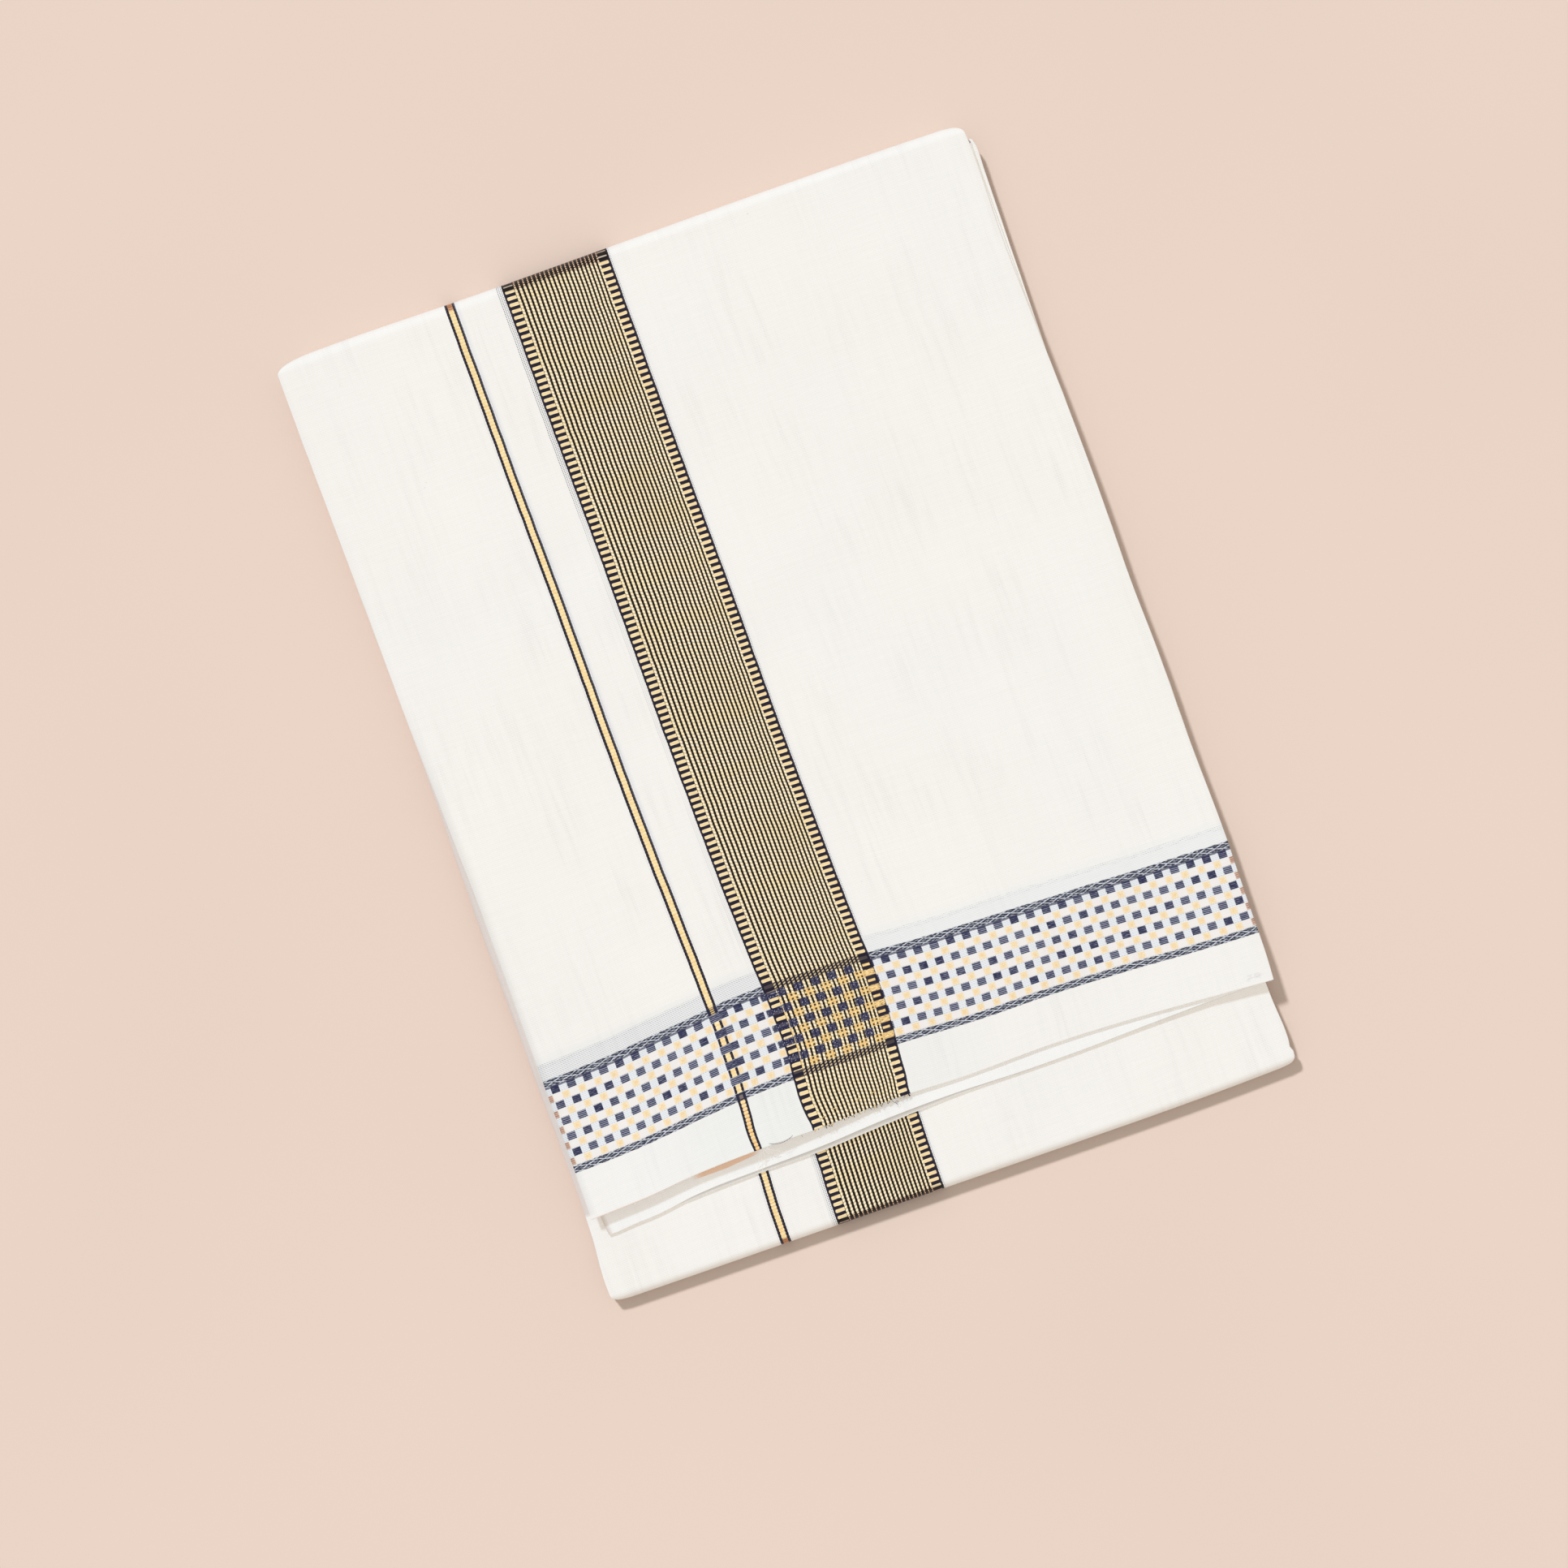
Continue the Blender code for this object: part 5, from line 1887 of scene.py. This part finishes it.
def strand(points: tuple, count: int) -> Array:
    """A smooth middle line through given points.

    Args:
        points: (x, y, z) points in order.
        count: stations on the line.

    Returns:
        (count, 3) points: a cubic between each pair, by distance along the chords.
    """
    given = np.array(points, dtype=float)
    chord = run_length(given)
    at = np.linspace(0.0, chord[-1], count)
    return np.stack([Curve(tuple(zip(chord, axis)))(at) for axis in given.T], axis=1)


@dataclass
class CutFray:
    """Short yarn ends that stand out of a cut."""

    name: str  # the piece's name
    cut: Curve  # the cut's line
    height: float  # height of the top ply's face on the flat
    rise: Curve  # how far the cut end stands up
    span: tuple[float, float]  # first and last x
    pitch: float  # mean distance from one yarn to the next
    reach: tuple[float, float]  # shortest and longest length that stands out
    depth: float  # how far down through the plies the ends start, at most
    radius: float  # mean radius
    seed: int  # start of its random draws

    def build(self, finish: Finish) -> bpy.types.Object:
        """Draw the yarns: evenly spread with some scatter, each leaning and drooping by its own amount.

        Args:
            finish: the yarns' finish.

        Returns:
            The piece.
        """
        draw = np.random.default_rng(self.seed)
        count = int((self.span[1] - self.span[0]) / self.pitch)
        x = np.linspace(*self.span, count) + draw.uniform(-0.5, 0.5, count) * self.pitch
        reach = self.reach[0] + (self.reach[1] - self.reach[0]) * draw.uniform(0.0, 1.0, count) ** 2.2
        lean = draw.normal(0.0, 0.55, count)
        droop = draw.uniform(-0.25, 0.35, count)
        curl = draw.normal(0.0, 0.12, count)
        depth = self.depth * draw.uniform(0.02, 1.0, count)
        radii = self.radius * draw.uniform(0.75, 1.2, count)
        run = np.linspace(0.0, 1.0, 6)[None, :]
        x, reach, lean, droop, curl, depth = (v[:, None] for v in (x, reach, lean, droop, curl, depth))
        line_x = x + lean * reach * run**1.5 + curl * np.sin(run * 4.0)
        line_y = self.cut(x) + 0.3 - (reach + 0.3) * run
        line_z = self.height + lifted(CUT_PLACE, x, self.rise) - 0.12 - depth - droop * reach * run**2
        return YarnBundle(self.name, list(spread(line_x, line_y, line_z)), radii.tolist()).build(finish)


@dataclass
class LooseYarns:
    """The yarns that came loose at the two cuts."""

    top_height: float  # height of the top stretch's face on the flat
    second_height: float  # height of the second end's
    lower_height: float  # height of the lower stretch's

    def border_ends(self, name: str, seed: int, count: int) -> YarnBundle:
        """Stiff yarn ends of the wide border, which stand out of its cut in small tufts."""
        draw = np.random.default_rng(seed)
        lines, radii = [], []
        for _ in range(count):
            x = draw.uniform(-41.5, -6.0)
            reach, lean, up = draw.uniform(0.4, 1.2), draw.normal(0.0, 0.35), draw.uniform(-0.5, 0.25)
            foot = self.top_height + lifted(CUT_PLACE, x, TOP_LIFT) - 0.15
            start = TOP_CUT(x)
            lines.append(strand((
                (x, start + 0.35, foot), (x + 0.3 * lean, start - 0.45 * reach, foot + 0.3 * up),
                (x + lean, start - reach, foot + up),
            ), 8))
            radii.append(draw.uniform(0.085, 0.12))
        return YarnBundle(name, lines, radii, sides=8)

    def loops(self) -> YarnBundle:
        """Gilt yarns that the cut pulled up out of the border in small loops."""
        lines = []
        for x, y, wide, high, turn in (
            (-37.0, -137.3, 1.5, 0.8, 0.4), (-32.2, -135.8, 1.9, 1.0, -0.2), (-23.4, -135.4, 1.3, 0.7, 0.9),
            (-18.0, -135.2, 1.6, 0.9, 0.2), (-28.2, -138.2, 1.1, 0.6, 1.2),
        ):
            foot = self.top_height + lifted(y, x, TOP_LIFT) - 0.1
            across, along = wide * math.cos(turn), wide * math.sin(turn)
            lines.append(strand((
                (x - 0.5 * across, y - 0.5 * along, foot),
                (x - 0.42 * across, y - 0.4 * along, foot + 0.6 * high), (x, y + 0.25, foot + high),
                (x + 0.45 * across, y + 0.42 * along, foot + 0.55 * high),
                (x + 0.5 * across, y + 0.5 * along, foot),
            ), 18))
        return YarnBundle("border_yarn_loops", lines, [0.13] * len(lines), sides=8)

    def tuft(self) -> YarnBundle:
        """White yarns that hang out of the lifted end and fan over what lies below it."""
        top = self.top_height + 2.6
        low, floor = self.second_height + 0.15, self.lower_height + 0.15
        lip = -141.4  # y where they bend down over the cut's edge
        draw = np.random.default_rng(5)
        lines, radii = [], []
        for x0, x1, y1, bow in (
            (-61.3, -64.8, -147.2, -0.4), (-61.0, -64.2, -150.1, -0.2), (-60.6, -62.0, -146.0, 0.4),
            (-60.3, -59.0, -145.2, 0.5), (-60.0, -57.0, -144.8, 0.3), (-59.8, -55.2, -145.9, 0.5),
            (-59.5, -54.4, -144.3, 0.4),
        ):
            for stray in draw.normal(0.0, 0.3, (2, 2))[: 1 + (x1 > -62.5)]:
                x2, y2 = x1 + stray[0], y1 + stray[1]
                run, drop = x2 - x0, y2 - lip
                end = floor if y2 < SECOND_CUT(x2) + 0.2 else low
                lines.append(strand((
                    (x0 + 0.3 * stray[0], -139.9, top - 0.5), (x0 + 0.2 * run, -141.2, top - 0.7),
                    (x0 + 0.5 * run + 0.5 * bow, lip + 0.4 * drop, top - 1.9),
                    (x0 + 0.82 * run + 0.6 * bow, lip + 0.75 * drop, low + 0.5 + 0.2 * stray[1]),
                    (x2, y2, end),
                ), 22))
                radii.append(0.055 + 0.01 * abs(stray[0]))
        return YarnBundle("frayed_tuft", lines, radii, taper=0.3)

    def dark_threads(self) -> YarnBundle:
        """Fine dark threads that lie over the cut beside the border, one with a small curl."""
        top = self.top_height
        bow = strand((
            (-58.2, -139.2, top + 2.7), (-56.6, -139.9, top + 3.0), (-54.3, -140.5, top + 2.9),
            (-52.0, -140.4, top + 2.7), (-50.2, -139.9, top + 2.5), (-48.9, -139.3, top + 2.2),
        ), 44)
        curl = strand((
            (-12.0, -139.0, top + 0.5), (-12.4, -139.9, top + 0.8), (-11.8, -140.9, top + 0.7),
            (-10.9, -141.4, top + 0.3), (-10.5, -140.8, top + 0.1), (-11.2, -140.6, top - 0.1),
            (-11.3, -141.6, top - 0.5), (-10.8, -142.4, top - 0.9),
        ), 60)
        short = strand((
            (-45.9, -139.6, top + 2.0), (-46.3, -140.6, top + 1.9), (-46.1, -141.3, top + 1.4),
        ), 16)
        return YarnBundle("dark_threads", [bow, curl, short], [0.06, 0.06, 0.05], sides=8, taper=0.3)

    def build(self) -> list[bpy.types.Object]:
        """Make all of the loose yarns.

        Returns:
            The pieces.
        """
        top_fray = CutFray(
            "top_cut_fray", TOP_CUT, self.top_height, TOP_LIFT, span=(-125.0, 127.0), pitch=1.6,
            reach=(0.05, 0.5), depth=1.0, radius=0.055, seed=11,
        )
        second_fray = CutFray(
            "second_cut_fray", SECOND_CUT, self.second_height, SECOND_LIFT, span=(-121.0, 123.5), pitch=2.2,
            reach=(0.05, 0.45), depth=0.9, radius=0.05, seed=12,
        )
        return [
            top_fray.build(WHITE_YARN),
            second_fray.build(WHITE_YARN),
            self.border_ends("gilt_yarn_ends", 21, 30).build(GILT_YARN),
            self.border_ends("navy_yarn_ends", 22, 22).build(NAVY_YARN),
            self.loops().build(GILT_YARN),
            self.tuft().build(WHITE_YARN),
            self.dark_threads().build(NAVY_YARN),
        ]


# --- The studio -----------------------------------------------------------------------------------
@dataclass(frozen=True)
class Lamp:
    """An even light from far off."""

    name: str  # its name
    way: tuple[float, float, float]  # the direction it comes from, x, y and z
    spread: float  # how wide it looks, in degrees
    strength: float  # its light on a surface square to it, in watts a square metre
    shadows: bool = True  # whether it casts them
    tone: tuple[float, float, float] = (1.0, 1.0, 1.0)  # its colour, as light

    def hang(self, lit: list[bpy.types.Object]) -> None:
        """Make the lamp, which lights only the objects given."""
        light = bpy.data.lights.new(self.name, "SUN")
        light.angle = math.radians(self.spread)
        light.energy = self.strength
        light.color = self.tone
        light.use_shadow = self.shadows
        way = np.array(self.way) / np.linalg.norm(self.way)
        lamp = added(self.name, light)
        lamp.location = way.tolist()
        lamp.rotation_euler = (math.acos(way[2]), 0.0, math.atan2(way[0], -way[1]))
        receivers = bpy.data.collections.new(self.name + "_lights")
        for piece in lit:
            receivers.objects.link(piece)
        lamp.light_linking.receiver_collection = receivers


KEY_WAY = (-0.33, 1.05, 1.0)  # where the key light comes from: beyond the far fold and a little left


@dataclass(frozen=True)
class Studio:
    """A pale floor, a soft key from beyond the far fold, even fill and a camera straight above."""

    floor: float = 3.0  # half the floor's width, in metres
    camera: tuple[float, float, float] = (-0.0105, -0.0229, 1.3045)  # the camera's place
    camera_turn: float = -19.8  # how far it is turned about the vertical, in degrees
    lens: float = 85.0  # focal length on a 36 mm sensor
    key: Lamp = Lamp("key", KEY_WAY, 6.0, 1.37, tone=(0.66, 0.82, 1.0))  # the key light on the cloth
    # flat light on the cloth from the camera's side, which keeps its folds pale
    front: Lamp = Lamp("front", (0.0, 0.0, 1.0), 20.0, 0.86, shadows=False)
    # the key light on the floor, where the packet's shadow falls
    floor_key: Lamp = Lamp("floor_key", KEY_WAY, 6.0, 2.3)
    fill: tuple[float, float, float] = (0.595, 0.548, 0.49)  # the even light from all round, a little warm

    def build(self, pieces: list[bpy.types.Object]) -> None:
        """Lay the floor, hang the lights and set the camera.

        Args:
            pieces: the pieces of the packet.
        """
        edge = np.linspace(-self.floor, self.floor, 9)
        points = spread(edge, edge[:, None], 0.0)
        mesh = bpy.data.meshes.new("studio_floor")
        mesh.from_pydata(points.reshape(-1, 3).tolist(), [], grid_corners(9, 9, 0, False).tolist())
        mesh.materials.append(PaperFloor("Paper floor", "").material())
        floor = added("studio_floor", mesh)
        floor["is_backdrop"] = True

        self.key.hang(pieces)
        self.front.hang(pieces)
        self.floor_key.hang([floor])
        world = bpy.data.worlds.new("even_fill")
        world.use_nodes = True
        sky = world.node_tree.nodes["Background"].inputs
        sky["Color"].default_value, sky["Strength"].default_value = (*self.fill, 1.0), 1.0
        bpy.context.scene.world = world

        lens = bpy.data.cameras.new("overhead_camera")
        lens.lens = self.lens
        camera = added("overhead_camera", lens)
        camera.location = self.camera
        camera.rotation_euler = (0.0, 0.0, math.radians(self.camera_turn))
        bpy.context.scene.camera = camera
        bpy.context.scene.view_settings.view_transform = "Standard"


# --- The packet -----------------------------------------------------------------------------------
CREASES_ON_TOP = (
    Crease((-128, 9.5), (-84, 8.8), 1.3, -0.05),
    Crease((-60, 9.0), (-44, 9.2), 1.2, -0.04),
    Crease((0, 9.4), (24, 9.0), 1.3, -0.05),
    Crease((-104, 64.0), (-58, 74.0), 7.0, -0.16),
    Crease((8, 46.0), (44, 58.0), 9.0, 0.2),
    Crease((12, -36.0), (52, -64.0), 11.0, -0.2),
    Crease((70, 20.0), (96, -40.0), 10.0, 0.14),
    Crease((-118, -30.0), (-96, 30.0), 8.0, 0.14),
    Crease((60, 110.0), (110, 128.0), 9.0, -0.12),
)


def packet_walls() -> tuple[TopStretch, SecondEnd, LowerStretch, HiddenLayers]:
    """The four bodies of the packet, with their sizes.

    Returns:
        The top stretch, the second end, the lower stretch and the hidden layers.
    """
    even = tuple(map(level, (0.05, -0.12, 0.02, -0.2, -0.05)))  # nearly flush, as one cut leaves them
    far = {"fold": FAR_FOLD, "side": 1, "radius": FAR_RADIUS, "corners": (12.0, 6.0)}
    top = TopStretch(
        name="top_stretch_cloth", left=TOP_LEFT, right=TOP_RIGHT, height=8.5, layout=RingLayout(176, 3),
        weave=TOP_MAP, creases=CREASES_ON_TOP, phase=0.4, ply_ends=even, **far,
    )
    lower_plies = Curve(tuple((x, float(y - SECOND_CUT(x))) for x, y in SECOND_UPPER_CUT.points))
    second = SecondEnd(
        name="second_end_cloth", left=SECOND_LEFT, right=SECOND_RIGHT, height=7.2, layout=RingLayout(150, 3),
        weave=PLAIN_MAP, creases=(), phase=1.9, cut=SECOND_UPPER_CUT, nominal=-144.5, rise=SECOND_LIFT,
        ply_ends=(*even[:2], *[lower_plies] * 3), **far,
    )
    lower = LowerStretch(
        name="lower_stretch_cloth", left=LOWER_LEFT, right=LOWER_RIGHT, fold=NEAR_FOLD, side=-1,
        radius=NEAR_RADIUS, height=5.9, corners=(4.5, 3.4), layout=RingLayout(160, 3), weave=LOWER_MAP,
        creases=(), phase=3.3,
    )
    # for each two pairs of plies: how far out they stand left and right, and their stray's height and length
    rims = (
        (0.0, -0.5, 0.25, 61.0), (-0.6, 0.0, 0.35, 83.0), (-0.2, -0.3, 0.25, 47.0),
        (0.0, -0.7, 0.3, 71.0), (-0.5, -0.1, 0.3, 97.0), (-0.2, -0.5, 0.2, 53.0),
    )
    layers = []
    for i, (left, right, stray, wavelength) in enumerate(rims):
        layers.append(EdgeLayer(left + 0.12, right - 0.1, Sway(stray * 0.6, wavelength, 1.3 * i)))
        layers.append(EdgeLayer(left - 0.12, right + 0.1, Sway(stray * 0.6, wavelength * 0.8, 2.0 + 1.7 * i)))
    return top, second, lower, HiddenLayers(tuple(layers), RingLayout(24, 12, 4))


def main() -> None:
    """Build the packet, dress it, attach its pieces and set the studio round it."""
    logging.basicConfig(level=logging.INFO, format="%(name)s: %(message)s", stream=sys.stdout)
    top_wall, second_wall, lower_wall, hidden = packet_walls()

    layers = hidden.build(SHADED_LAYER_COTTON)
    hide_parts("folded_layers")
    lower = lower_wall.build(STRIPED_COTTON)
    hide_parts("lower_stretch")
    second = second_wall.build(PLAIN_COTTON)
    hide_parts("second_end")
    top = top_wall.build(BORDERED_COTTON)
    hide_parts("top_stretch")

    inner = [
        LiftedPly("upper_inner_ply", -124.0, -22.0, 0.35, Curve(((-126, -0.3), (-60, 0.2), (0, -0.2)))),
        LiftedPly("lower_inner_ply", -122.5, -30.0, 0.66, Curve(((-126, 0.2), (-80, -0.4), (0, 0.1)))),
    ]
    plies = [ply.build(SHADED_LAYER_COTTON) for ply in inner]
    yarns = LooseYarns(top_wall.height, second_wall.height, lower_wall.height).build()

    for piece, slot in (
        (layers, "layered_cotton"), (lower, "striped_cotton"), (second, "plain_end_cotton"),
        (top, "bordered_cotton"), *((ply, "layered_cotton") for ply in plies),
        *((yarn, "bordered_cotton") for yarn in yarns),
    ):
        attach(piece, "root")

    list(yarns)

    Studio().build([layers, lower, second, top, *plies, *yarns])
    new_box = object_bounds()
    log.info("packet: %s", ", ".join(f"{(high - low) / MM:.1f}" for low, high in zip(*new_box)))


if __name__ == "__main__":
    main()
